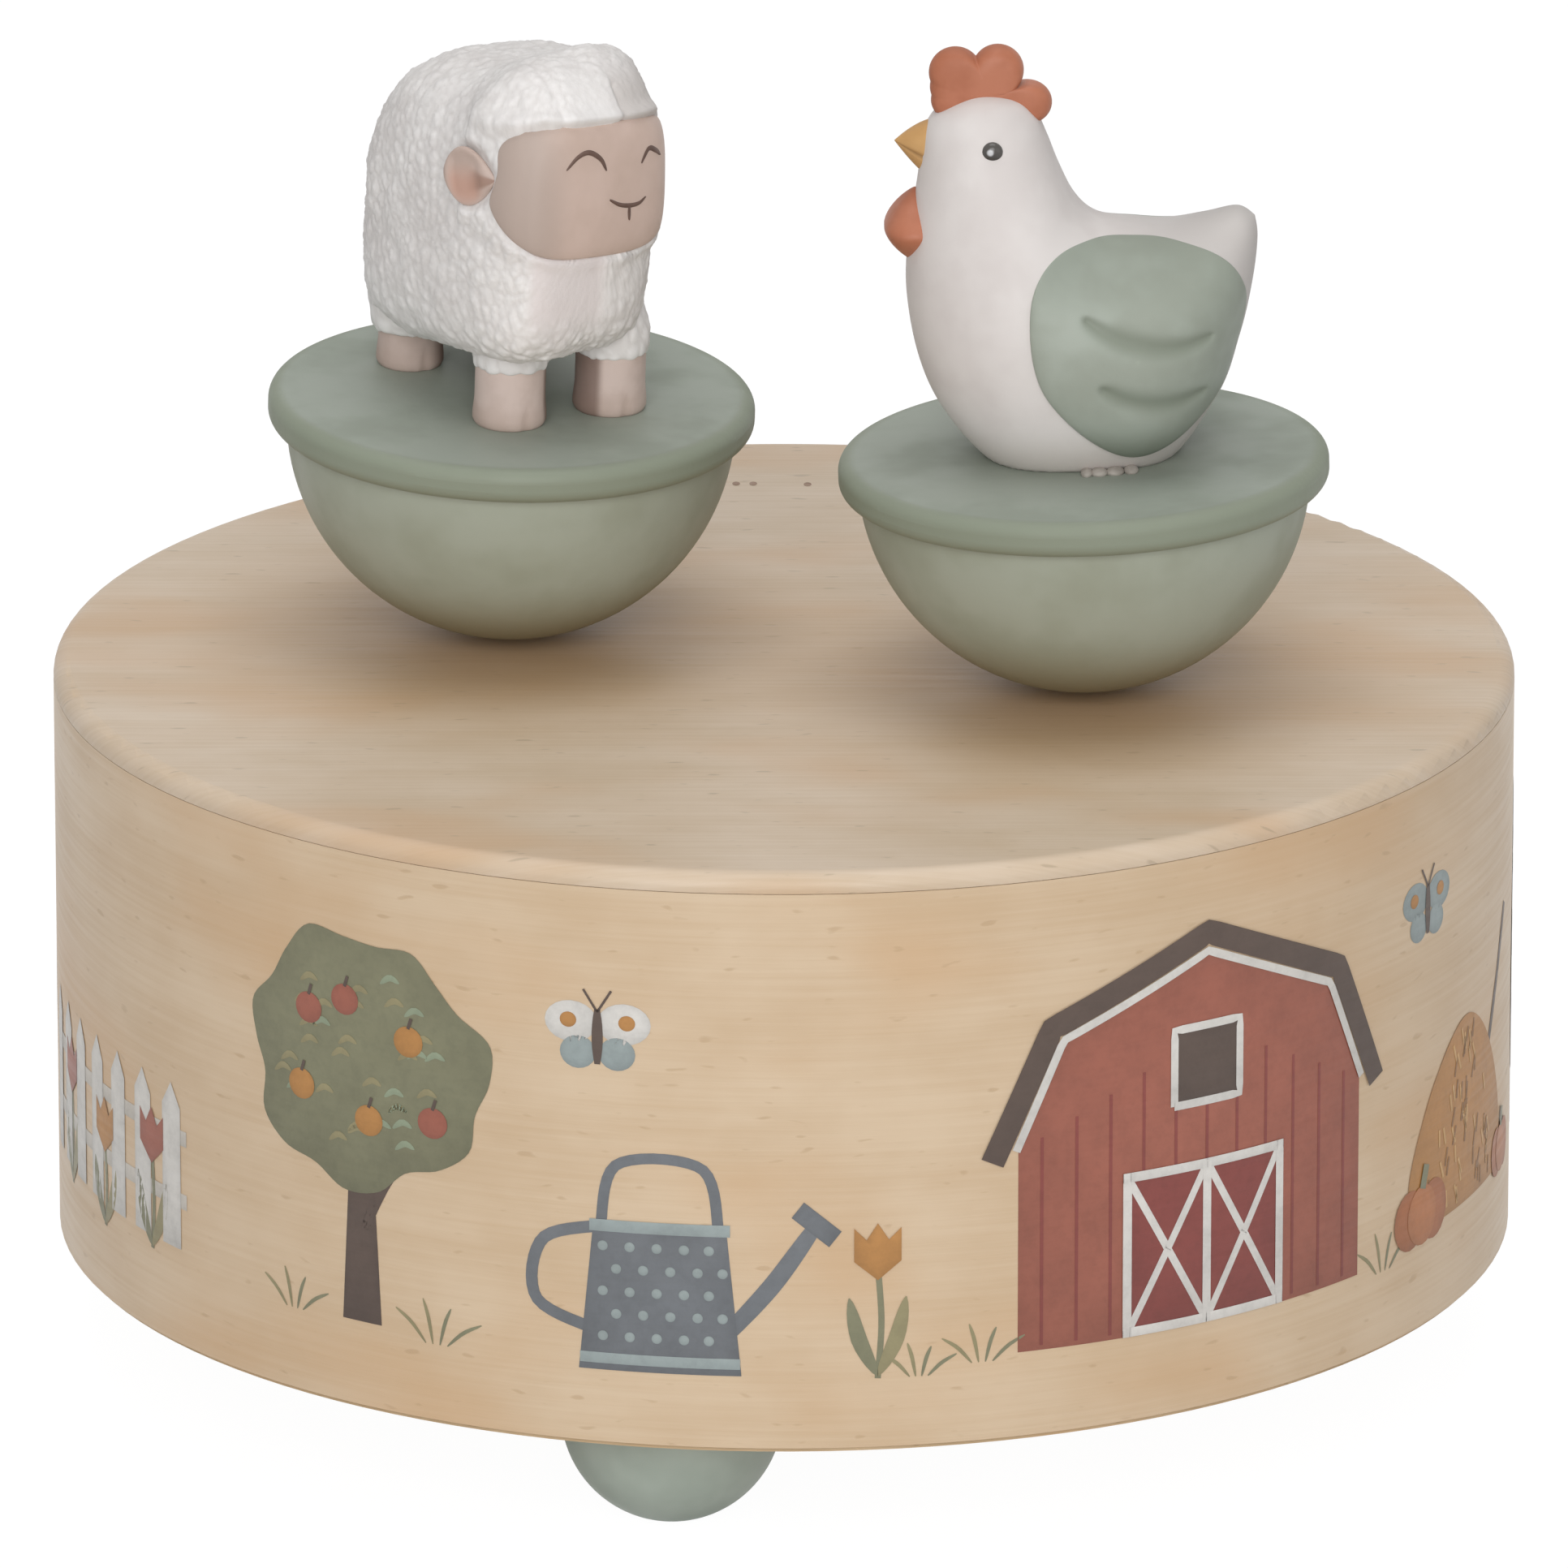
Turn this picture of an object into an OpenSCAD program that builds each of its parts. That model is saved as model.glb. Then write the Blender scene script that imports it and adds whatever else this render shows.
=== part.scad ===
// Toy music box: a round wooden drum on three ball feet. Inside it a clockwork
// movement plays a tune and turns a rotor with two magnets just under the drum's
// top, and two round-bottomed tumbler figures, a sheep and a hen, waltz after them.
// Millimetres, +Z up, the floor at Z = 0, the drum's axis at X = Y = 0, front at -Y.

/* [Drum] */
// Diameter of the drum over its printed wrap
drum_d = 120; // [116:1:132]
// Height of the drum from its underside to its top
drum_h = 48.6; // [46:0.2:56]
// Thickness of the printed veneer wrapped round the drum
wrap_t = 0.4; // [0.3:0.1:0.6]
// Plain rim of the top plate left above the wrap
rim_h = 1.6; // [1.5:0.1:2.4]
// Rounding of the top plate's edge
rim_round = 1.4; // [0.8:0.1:1.5]
// Bare edge left under the wrap
wrap_foot = 0.4; // [0.2:0.1:1]
// Thickness of the bent wooden hoop
hoop_wall = 6; // [5:0.5:7]
// Thickness of the top plate
top_t = 4; // [3.6:0.2:5]
// Thickness of the base plate
base_t = 4; // [3.6:0.2:5]
// Depth of the top plate's locating ring inside the hoop
spigot_h = 2; // [1.5:0.5:3]
// Radial width of the locating ring
spigot_w = 4; // [3:0.5:6]

/* [Feet] */
// Diameter of a ball foot
foot_d = 18; // [16:0.5:20]
// How far a foot's ball centre lies below the base plate
foot_drop = 2; // [1:0.25:3]
// Depth of the flat that a foot stands on
foot_flat = 0.4; // [0.2:0.1:0.8]
// Radius of the circle on which the feet sit
foot_ring = 45; // [42:0.5:46]
// Direction of the front foot
foot_turn = -101.6; // [-130:0.2:-90]

/* [Screws] */
// Shank diameter of the base plate's wood screws
base_screw_d = 2.4; // [2:0.1:2.8]
// Length of the base plate's wood screws
base_screw_l = 13; // [10:0.5:16]
// Shank diameter of the foot screws
foot_screw_d = 2.6; // [2:0.1:3]
// Length of the foot screws
foot_screw_l = 10; // [8:0.5:11]
// Shank diameter of the movement screws
bed_screw_d = 2.6; // [2:0.1:3]
// Shank diameter of the comb screws
comb_screw_d = 2; // [1.6:0.1:2.4]

/* [Movement] */
// Thickness of the movement's bedplate
bed_t = 3; // [2.6:0.1:3.4]
// Module of the barrel and rotor gears
gear_mod = 0.5; // [0.48:0.01:0.52]
// Teeth of the spring barrel's gear
barrel_teeth = 60; // [57:3:63]
// Teeth of the rotor gear
rotor_teeth = 20; // [19:1:21]
// Direction of the spring barrel from the drum's axis
train_turn = 210; // [204:1:214]
// Thickness of the barrel's gear flange
flange_t = 3; // [2.6:0.2:3.4]
// Diameter of the barrel drum
barrel_d = 26; // [25:0.2:27]
// Wall of the barrel drum
barrel_wall = 1.2; // [1:0.1:1.6]
// Height of the barrel drum above its gear flange
barrel_h = 9; // [8:0.2:10]
// Thickness of the barrel cover
cover_t = 1.5; // [1.2:0.1:2]
// Crown teeth on the barrel cover
crown_teeth = 40; // [38:2:42]
// Radial width of the crown teeth
crown_w = 2.4; // [2.2:0.1:2.8]
// Height of the crown teeth
crown_h = 1.1; // [1:0.05:1.2]
// Teeth of the tune cylinder's pinion
pinion_teeth = 10; // [9:1:11]
// Thickness of the mainspring strip
spring_t = 0.35; // [0.25:0.05:0.5]
// Turns of the mainspring
spring_turns = 6; // [4:1:7]
// Diameter of the winding arbor
arbor_d = 4; // [3.6:0.1:4.4]
// Span of the winding key's wings
key_span = 19; // [17:0.5:20]
// Thickness of the winding key's wings
key_t = 1.8; // [1.4:0.2:2.4]

/* [Tune cylinder and governor] */
// Diameter of the tune cylinder
cyl_d = 13; // [12:0.2:13.6]
// Length of the tune cylinder
cyl_l = 23; // [21:0.5:24]
// Diameter of the cylinder's axle
axle_d = 2.4; // [2:0.1:2.6]
// Height of a tune pin over the cylinder
pin_h = 0.5; // [0.3:0.1:0.6]
// Diameter of a tune pin
pin_d = 0.5; // [0.4:0.05:0.6]
// Notes, one comb tine each
notes = 18; // [14:1:20]
// Length of the comb's tines
tine_l = 11; // [9:0.5:12]
// Slit between two tines
tine_slit = 0.3; // [0.2:0.05:0.4]
// Thickness of the comb
comb_t = 1; // [0.8:0.1:1.4]
// Depth of the comb's solid heel
comb_heel = 7; // [6:0.5:8]
// Module of the governor gears
gov_mod = 0.4; // [0.38:0.01:0.42]
// Teeth of the cylinder's gear
gov_gear_teeth = 36; // [34:1:38]
// Teeth of the governor's pinion
gov_pinion_teeth = 9; // [9:1:11]
// Face width of the small gears
small_gear_t = 2; // [1.6:0.1:2.4]
// Span of the governor's fly
fly_span = 9; // [8:0.2:10]
// Length of the governor's fly
fly_l = 10; // [8:0.5:11]
// Diameter of the governor's shaft
gov_shaft_d = 1.2; // [1:0.1:1.4]
// Thickness of the bearing posts
post_t = 2.4; // [2:0.1:2.8]

/* [Rotor] */
// Place of the rotor's axis right of the drum's axis
rotor_x = 1; // [-2:0.1:2]
// Place of the rotor's axis behind the drum's axis
rotor_y = -2; // [-3:0.1:2]
// Radius of the circle that the figures travel on
orbit_r = 24.5; // [23.5:0.5:26]
// Direction of the hen's magnet from the drum's axis
orbit_turn = -17.3; // [-40:0.1:10]
// Diameter of a drive magnet
drive_d = 12; // [10:0.5:13]
// Thickness of a drive magnet
drive_t = 4; // [3:0.2:4.6]
// Wall of the rotor's magnet cups
cup_wall = 1.5; // [1.2:0.1:2]
// Thickness of the rotor arm
arm_t = 2.6; // [2:0.2:3]
// Width of the rotor arm
arm_w = 8; // [6:0.5:10]
// Diameter of the rotor shaft
shaft_d = 3; // [2.6:0.1:3.4]
// Gap between the drive magnets and the top plate
drive_gap = 0.6; // [0.4:0.1:1]

/* [Tumblers] */
// Diameter of a tumbler's round bowl
bowl_d = 37; // [35:0.5:38]
// Wall of a bowl
bowl_wall = 2.2; // [1.8:0.1:2.6]
// Diameter of the plate that a figure stands on
plate_d = 40; // [39:0.5:42]
// Thickness of that plate
plate_t = 2.9; // [2.4:0.1:3.4]
// Height of the plate's top over the bowl's centre
plate_rise = 1.3; // [1:0.1:2]
// Extra height of the sheep's plate over the hen's
sheep_raise = 0.8; // [0:0.1:1]
// Rounding of the plate's edge
plate_round = 1.1; // [0.6:0.1:1.2]
// Height of the ballast's flat top below the bowl's centre
ballast_drop = 6.2; // [5.6:0.1:7.5]
// Half angle of the floating magnet, seen from the bowl's centre
magnet_half = 16; // [14:0.5:17]
// Thickness of the floating magnet
magnet_t = 2.8; // [2.2:0.1:3.2]
// Half angle of the chamber that the magnet floats in
chamber_half = 38; // [37:0.5:40]
// Rest lean of the sheep's tumbler
sheep_lean = 1.9; // [-3:0.1:3]
// Rest tip of the sheep's tumbler to the front
sheep_tip = 3; // [-4:0.1:4]
// Rest lean of the hen's tumbler
hen_lean = -1.9; // [-3:0.1:3]
// Rest tip of the hen's tumbler to the front
hen_tip = 1; // [-4:0.1:4]

/* [Sheep] */
// Heading of the sheep
sheep_turn = -62; // [-180:1:180]
// Length of the fleece from rump to brow
fleece_l = 28.4; // [26:0.2:30]
// Width of the fleece
fleece_w = 20.2; // [19:0.2:22]
// Height of the sheep over its plate
sheep_h = 32; // [29:0.2:34]
// Clear height of the legs
leg_h = 6.6; // [5.5:0.1:8]
// Turn of the head to the sheep's left
head_turn = 16; // [0:1:24]
// Diameter of a leg
leg_d = 5.8; // [5:0.1:6.4]
// Depth of a leg's peg in the plate
leg_peg = 1.6; // [1:0.1:2]
// Thickness of the face over the fleece
face_t = 0.7; // [0.6:0.1:1.4]
// Length of an ear
ear_l = 5.4; // [5:0.2:7]

/* [Hen] */
// Heading of the hen, measured from facing left
hen_turn = 0; // [-180:1:180]
// Height of the hen's head over its plate
hen_h = 31; // [29:0.2:34]
// Length of the hen from breast to tail
hen_l = 28.6; // [27:0.2:30]
// Width of the hen's body
hen_w = 19.2; // [18:0.2:21]
// Thickness of a wing
wing_t = 1; // [0.6:0.1:1.4]
// Thickness of the comb on the head
crest_t = 4.4; // [3.6:0.2:5]
// Length of the beak from its root inside the head
beak_l = 4.4; // [4:0.1:5]
// Height of the beak at its root
beak_h = 5.2; // [4.6:0.1:5.8]
// Width of the beak at its root
beak_w = 3.8; // [3.4:0.1:4.4]
// Height of the wattle
wattle_h = 6.2; // [5.4:0.1:7]
// Length of the wattle from front to back
wattle_l = 4.2; // [3.8:0.1:4.8]
// Width of the wattle
wattle_w = 4.8; // [4:0.1:5.4]
// Diameter of an eye
eye_d = 1.7; // [1.5:0.1:2]
// Shank diameter of the screw that holds the hen
hen_screw_d = 2.6; // [2:0.1:3]

/* [Fits] */
// Radial clearance of turning shafts
run_fit = 0.04; // [0.02:0.01:0.06]
// Radial clearance of pressed fits
press_fit = 0.01; // [0.005:0.005:0.02]
// Radial clearance of fixed fits
glue_fit = 0.05; // [0.03:0.01:0.1]
// Side clearance between gear teeth, large gears
backlash = 0.12; // [0.1:0.01:0.16]
// Side clearance between gear teeth, small gears
fine_backlash = 0.18; // [0.14:0.01:0.22]
// Glue line under a wing or the face
wing_gap = 0.2; // [0.12:0.02:0.3]
// Air under a tumbler's bowl
stand_gap = 0.1; // [0.05:0.05:0.3]
// Air between parts that pass each other
pass_gap = 0.5; // [0.4:0.1:0.8]

/* [Hidden] */
$fn = 72;
foot_r = foot_d / 2;
foot_h = foot_r + foot_drop - foot_flat;
drum_r = drum_d / 2;
core_r = drum_r - wrap_t;
hoop_in = core_r - hoop_wall;
z_floor = foot_h + base_t;
z_top = foot_h + drum_h;
z_roof = z_top - top_t;
screw_ring = (core_r + hoop_in) / 2;
screw_turn = foot_turn + 15;
drill_over = 0.4;

gear_add = 0.84 * gear_mod;
gear_ded = 1.2 * gear_mod;
barrel_pr = barrel_teeth * gear_mod / 2;
rotor_pr = rotor_teeth * gear_mod / 2;
train = barrel_pr + rotor_pr;
key_x = rotor_x + train * cos(train_turn);
key_y = rotor_y + train * sin(train_turn);
z_bed = z_floor + bed_t;
z_flange = z_bed + pass_gap;
z_drum = z_flange + flange_t;
z_cover = z_drum + barrel_h;
z_crown = z_cover + cover_t;
barrel_r = barrel_d / 2;
crown_r = barrel_r - crown_w / 2;
crown_pitch = 2 * PI * crown_r / crown_teeth;
pinion_pr = crown_r * pinion_teeth / crown_teeth;
crown_bite = 0.45;
z_axle = z_crown + crown_h - crown_bite + pinion_pr;
cyl_r = cyl_d / 2;
gov_add = 0.7 * gov_mod;
gov_ded = 1.05 * gov_mod;
gov_pr = gov_gear_teeth * gov_mod / 2;
gov_pinion_pr = gov_pinion_teeth * gov_mod / 2;
gov_y = key_y + gov_pr + gov_pinion_pr;
x_post1 = key_x + barrel_pr + gear_add + pass_gap;
x_cyl = x_post1 + post_t + pass_gap;
x_gear = x_cyl + cyl_l + pass_gap;
x_post2 = x_gear + small_gear_t + pass_gap;
x_fly = x_post2 + post_t + 2 * pass_gap;
x_post3 = x_fly + fly_l + 2 * pass_gap;
x_end = x_post3 + post_t;
post_w = 6;
post_top = z_axle + post_w / 2 + 0.4;
tine_gap = 0.15;
y_tip = key_y - cyl_r - pin_h - tine_gap;
y_heel = y_tip - tine_l;
y_back = y_heel - comb_heel;
comb_edge = 0.8;
comb_x = x_cyl + comb_edge;
comb_l = cyl_l - 2 * comb_edge;
tine_pitch = comb_l / notes;
z_comb = z_axle - comb_t / 2;
comb_bite = 5;
bed_holes = [
    [key_x - barrel_pr + 1, key_y],
    [x_fly + fly_l / 2, key_y - post_w / 2],
    [comb_x + comb_l / 2, y_back + comb_heel / 2]];
comb_holes = [for (x = [4, comb_l - 4]) [comb_x + x, y_back + comb_heel / 2]];
arbor_r = arbor_d / 2;
key_clear = 0.8;
key_wing_r = (foot_h - 2 * key_clear) / 2;
key_hub_r = arbor_r + 1.8;
shaft_r = shaft_d / 2;
bush_r = shaft_r + 1.6;
bush_h = 2.4;
bush_lip = 0.4;
bush_floor = 0.8;
end_play = 0.02;
axle_r = axle_d / 2;

drive_r = drive_d / 2;
z_drive = z_roof - drive_gap - drive_t;
cup_r = drive_r + run_fit + cup_wall;
cup_floor = 1.2;
cup_low = 0.3;
hub_h = 3;
hub_wall = 3;
z_arm = z_drive - cup_floor;

bowl_r = bowl_d / 2;
bowl_in = bowl_r - bowl_wall;
plate_r = plate_d / 2;
seat = plate_rise - plate_t;
z_ball = z_top + stand_gap + bowl_r;
ring_h = 1.5;
ring_r = sqrt(bowl_in * bowl_in - (seat - ring_h) * (seat - ring_h)) - glue_fit;
float_gap = 0.12;
chamber_r = bowl_in - float_gap - magnet_t - 2 * float_gap;

// A point of a smooth curve through the rows of p, at the share s of its length
function along(p, s) =
    let (n = len(p) - 1, x = min(s, 0.99999) * n, i = floor(x), t = x - i)
    let (a = p[max(0, i - 1)], b = p[i], c = p[i + 1], d = p[min(n, i + 2)])
    0.5 * (2 * b + (c - a) * t + (2 * a - 5 * b + 4 * c - d) * t * t + (3 * b - a - 3 * c + d) * t * t * t);

// The same for a closed curve, whose last row leads back to its first
function around(p, s) =
    let (n = len(p), x = s * n, i = floor(x), t = x - i)
    let (a = p[(i + n - 1) % n], b = p[i % n], c = p[(i + 1) % n], d = p[(i + 2) % n])
    0.5 * (2 * b + (c - a) * t + (2 * a - 5 * b + 4 * c - d) * t * t + (3 * b - a - 3 * c + d) * t * t * t);

// A cosine or sine pressed towards a squarer round by the power e
function squared(v, e) = sign(v) * pow(abs(v), e);

// A closed skin over rings of equal length, drawn to a point at both ends
module skin(first, rings, last) {
    n = len(rings);
    m = len(rings[0]);
    points = concat([first], [for (r = rings) for (p = r) p], [last]);
    start = [for (j = [0 : m - 1]) [0, 1 + j, 1 + (j + 1) % m]];
    sides = [for (i = [0 : n - 2]) for (j = [0 : m - 1]) for (h = [0, 1])
        let (a = 1 + i * m + j, b = 1 + i * m + (j + 1) % m)
        h == 0 ? [a, a + m, b] : [b, a + m, b + m]];
    close = [for (j = [0 : m - 1]) [n * m + 1, 1 + (n - 1) * m + (j + 1) % m, 1 + (n - 1) * m + j]];
    polyhedron(points = points, faces = concat(start, sides, close), convexity = 6);
}

// Gear outline with straight-sided teeth, the first tooth at the angle turn
module gear_outline(teeth, mod, add, ded, play, turn) {
    r = teeth * mod / 2;
    half = PI * mod / 4 - play / 2;
    tip = half - 0.36 * add;
    root = half + 0.2 * ded;
    polygon([for (i = [0 : teeth - 1])
        for (q = [[r - ded, -root], [r + add, -tip], [r + add, tip], [r - ded, root]])
            let (a = turn + 360 * i / teeth + q[1] / q[0] * 180 / PI)
            [q[0] * cos(a), q[0] * sin(a)]]);
}

module coarse_gear(teeth, turn) {
    gear_outline(teeth, gear_mod, gear_add, gear_ded, backlash, turn);
}

module fine_gear(teeth, turn) {
    gear_outline(teeth, gov_mod, gov_add, gov_ded, fine_backlash, turn);
}

// Screw with its head under Z = 0 and its shank going up
module pan_screw(d, l) {
    difference() {
        union() {
            translate([0, 0, -0.55 * d])
                cylinder(r = d, h = 0.55 * d);
            cylinder(d = d, h = l);
        }
        translate([-0.75 * d, -0.14 * d, -0.6 * d])
            cube([1.5 * d, 0.28 * d, 0.35 * d]);
        translate([-0.14 * d, -0.75 * d, -0.6 * d])
            cube([0.28 * d, 1.5 * d, 0.35 * d]);
    }
}

// Screw with a sunk head that starts at Z = 0
module sunk_screw(d, l) {
    difference() {
        union() {
            cylinder(r1 = d, r2 = d / 2, h = d / 2);
            cylinder(d = d, h = l);
        }
        translate([-0.6 * d, -0.13 * d, -0.1 * d])
            cube([1.2 * d, 0.26 * d, 0.35 * d]);
        translate([-0.13 * d, -0.6 * d, -0.1 * d])
            cube([0.26 * d, 1.2 * d, 0.35 * d]);
    }
}

// Places on the drum
module at_feet() {
    for (i = [0 : 2])
        rotate([0, 0, foot_turn + 120 * i])
            translate([foot_ring, 0, 0])
                children();
}

module at_base_screws() {
    for (i = [0 : 3])
        rotate([0, 0, screw_turn + 90 * i])
            translate([screw_ring, 0, 0])
                children();
}

module at_sheep() {
    translate([rotor_x - orbit_r * cos(orbit_turn), rotor_y - orbit_r * sin(orbit_turn), z_ball])
        rotate([sheep_tip, sheep_lean, 0])
            children();
}

module at_hen() {
    translate([rotor_x + orbit_r * cos(orbit_turn), rotor_y + orbit_r * sin(orbit_turn), z_ball])
        rotate([hen_tip, hen_lean, 0])
            children();
}

module on_sheep_plate() {
    at_sheep()
        translate([0, 0, plate_rise + sheep_raise])
            rotate([0, 0, sheep_turn])
                children();
}

module on_hen_plate() {
    at_hen()
        translate([0, 0, plate_rise])
            rotate([0, 0, hen_turn])
                children();
}

// Casing
module top_plate() {
    color("#C9B497")
        difference() {
            union() {
                translate([0, 0, z_top - rim_h])
                    rotate_extrude($fn = 120)
                        union() {
                            square([drum_r, rim_h - rim_round]);
                            square([drum_r - rim_round, rim_h]);
                            translate([drum_r - rim_round, rim_h - rim_round])
                                intersection() {
                                    circle(r = rim_round, $fn = 48);
                                    square(rim_round);
                                }
                        }
                translate([0, 0, z_roof])
                    cylinder(r = core_r, h = top_t - rim_h, $fn = 120);
                translate([0, 0, z_roof - spigot_h])
                    difference() {
                        cylinder(r = hoop_in - glue_fit, h = spigot_h, $fn = 120);
                        translate([0, 0, -1])
                            cylinder(r = hoop_in - glue_fit - spigot_w, h = spigot_h + 1, $fn = 120);
                    }
            }
            translate([rotor_x, rotor_y, z_roof - 1])
                cylinder(r = bush_r + glue_fit, h = 1 + bush_h - bush_lip);
        }
}

module drum_hoop() {
    color("#D2B98F")
        difference() {
            translate([0, 0, z_floor])
                cylinder(r = core_r, h = z_roof - z_floor, $fn = 120);
            translate([0, 0, z_floor - 1])
                cylinder(r = hoop_in, h = z_roof - z_floor + 2, $fn = 120);
            at_base_screws()
                translate([0, 0, z_floor - 1])
                    cylinder(d = base_screw_d + 2 * glue_fit, h = base_screw_l - base_t + 2);
        }
}

module printed_wrap() {
    color("#D9C4A0")
        difference() {
            translate([0, 0, foot_h + wrap_foot])
                cylinder(r = drum_r, h = drum_h - rim_h - wrap_foot - glue_fit, $fn = 120);
            translate([0, 0, foot_h])
                cylinder(r = core_r + 0.02, h = drum_h, $fn = 120);
        }
}

module base_plate() {
    color("#C8AE86")
        difference() {
            translate([0, 0, foot_h])
                cylinder(r = core_r, h = base_t, $fn = 120);
            translate([key_x, key_y, foot_h - 1])
                cylinder(r = arbor_r + pass_gap, h = base_t + 2);
            at_base_screws()
                translate([0, 0, foot_h - 0.01])
                    union() {
                        cylinder(
                            r1 = base_screw_d + glue_fit,
                            r2 = base_screw_d / 2 + glue_fit,
                            h = base_screw_d / 2 + 0.01);
                        cylinder(d = base_screw_d + 2 * glue_fit, h = base_t + 1);
                    }
            at_feet()
                translate([0, 0, foot_h - 1])
                    cylinder(d = foot_screw_d + 2 * glue_fit, h = base_t + 2);
            for (p = bed_holes)
                translate([p[0], p[1], foot_h - 1])
                    cylinder(d = bed_screw_d + 2 * glue_fit, h = base_t + 2);
        }
}

module base_screws() {
    color("#9A9C9E")
        at_base_screws()
            translate([0, 0, foot_h])
                sunk_screw(base_screw_d, base_screw_l);
}

// One ball foot, flat on top and on the floor, drilled for its screw
module foot(i) {
    color("#94A092")
        rotate([0, 0, foot_turn + 120 * i])
            translate([foot_ring, 0, 0])
                difference() {
                    intersection() {
                        translate([0, 0, foot_h - foot_drop])
                            sphere(r = foot_r);
                        translate([-foot_r, -foot_r, 0])
                            cube([foot_d, foot_d, foot_h]);
                    }
                    translate([0, 0, foot_h - foot_screw_l + base_t - drill_over])
                        cylinder(d = foot_screw_d + 2 * glue_fit, h = foot_screw_l);
                }
}

module foot_screws() {
    color("#9A9C9E")
        at_feet()
            translate([0, 0, z_floor])
                rotate([180, 0, 0])
                    pan_screw(foot_screw_d, foot_screw_l);
}

// Movement
module bedplate() {
    color("#B4B6B4")
        difference() {
            union() {
                translate([0, 0, z_floor])
                    linear_extrude(bed_t)
                        union() {
                            translate([key_x, key_y])
                                circle(r = barrel_pr + gear_add + 2);
                            translate([rotor_x, rotor_y])
                                circle(r = bush_r + 3);
                            translate([key_x, key_y - post_w])
                                square([x_end + 1 - key_x, gov_y + post_w - key_y + post_w]);
                            translate([comb_x - 2, y_back - 1])
                                square([comb_l + 4, key_y - y_back]);
                        }
                translate([x_post1, key_y - post_w / 2, z_floor])
                    cube([post_t, post_w, post_top - z_floor]);
                translate([x_post2, key_y - post_w / 2, z_floor])
                    cube([post_t, gov_y - key_y + post_w, post_top - z_floor]);
                translate([x_post3, gov_y - post_w / 2, z_floor])
                    cube([post_t, post_w, post_top - z_floor]);
                translate([comb_x, y_back, z_floor])
                    cube([comb_l, comb_heel, z_comb - z_floor]);
            }
            translate([key_x, key_y, z_floor - 1])
                cylinder(r = arbor_r + run_fit, h = bed_t + 2);
            translate([rotor_x, rotor_y, z_floor - 1])
                cylinder(r = bush_r + glue_fit, h = bed_t + 2);
            translate([x_post1 - 1, key_y, z_axle])
                rotate([0, 90, 0])
                    cylinder(r = axle_r + run_fit, h = x_end - x_post1);
            translate([x_post2 - 1, gov_y, z_axle])
                rotate([0, 90, 0])
                    cylinder(d = gov_shaft_d + 2 * run_fit, h = x_end - x_post2 + 2);
            for (p = bed_holes)
                translate([p[0], p[1], z_floor - 1])
                    cylinder(d = bed_screw_d + 2 * glue_fit, h = bed_t + 2);
            for (p = comb_holes)
                translate([p[0], p[1], z_comb - comb_bite - drill_over])
                    cylinder(d = comb_screw_d + 2 * glue_fit, h = comb_bite + 2);
        }
}

module bed_screws() {
    color("#9A9C9E")
        for (p = bed_holes)
            translate([p[0], p[1], foot_h])
                pan_screw(bed_screw_d, base_t + bed_t - drill_over);
}

module winding_arbor() {
    color("#8E9092")
        translate([key_x, key_y, key_clear + key_wing_r])
            cylinder(r = arbor_r, h = z_crown - key_clear - key_wing_r - end_play);
}

module winding_key() {
    color("#A7A9AB")
        translate([key_x, key_y, 0])
            difference() {
                union() {
                    translate([0, 0, key_clear])
                        cylinder(r = key_hub_r, h = foot_h - 2 * key_clear);
                    for (s = [-1, 1])
                        translate([s * (key_span / 2 - key_wing_r), key_t / 2, key_clear + key_wing_r])
                            rotate([90, 0, 0])
                                cylinder(r = key_wing_r, h = key_t);
                    translate([-key_span / 2 + key_wing_r, -key_t / 2, key_clear + 1.4])
                        cube([key_span - 2 * key_wing_r, key_t, 2 * key_wing_r - 2.8]);
                }
                translate([0, 0, key_clear + key_wing_r])
                    cylinder(r = arbor_r + press_fit, h = foot_h);
                for (s = [-1, 1])
                    translate([s * (key_span / 2 - key_wing_r), key_t, key_clear + key_wing_r])
                        rotate([90, 0, 0])
                            cylinder(r = key_wing_r * 0.4, h = 2 * key_t);
            }
}

module spring_barrel() {
    color("#C9A85A")
        translate([key_x, key_y, 0])
            difference() {
                union() {
                    translate([0, 0, z_flange])
                        linear_extrude(flange_t)
                            coarse_gear(barrel_teeth, train_turn + 180);
                    translate([0, 0, z_drum - 0.5])
                        cylinder(r = barrel_r, h = barrel_h + 0.5);
                }
                translate([0, 0, z_drum - 1])
                    cylinder(r = barrel_r - barrel_wall, h = barrel_h + 2);
                translate([0, 0, z_flange - 1])
                    cylinder(r = arbor_r + run_fit, h = flange_t + 2);
            }
}

module barrel_cover() {
    color("#B79850")
        translate([key_x, key_y, 0])
            difference() {
                union() {
                    translate([0, 0, z_cover])
                        cylinder(r = barrel_r, h = cover_t);
                    for (i = [0 : crown_teeth - 1])
                        rotate([0, 0, 360 * (i + 0.5) / crown_teeth])
                            translate([crown_r - crown_w / 2 + 0.05, -0.15 * crown_pitch, z_crown - 0.2])
                                cube([crown_w - 0.25, 0.3 * crown_pitch, crown_h + 0.2]);
                }
                translate([0, 0, z_cover - 1])
                    cylinder(r = arbor_r + run_fit, h = cover_t + 2);
            }
}

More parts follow.
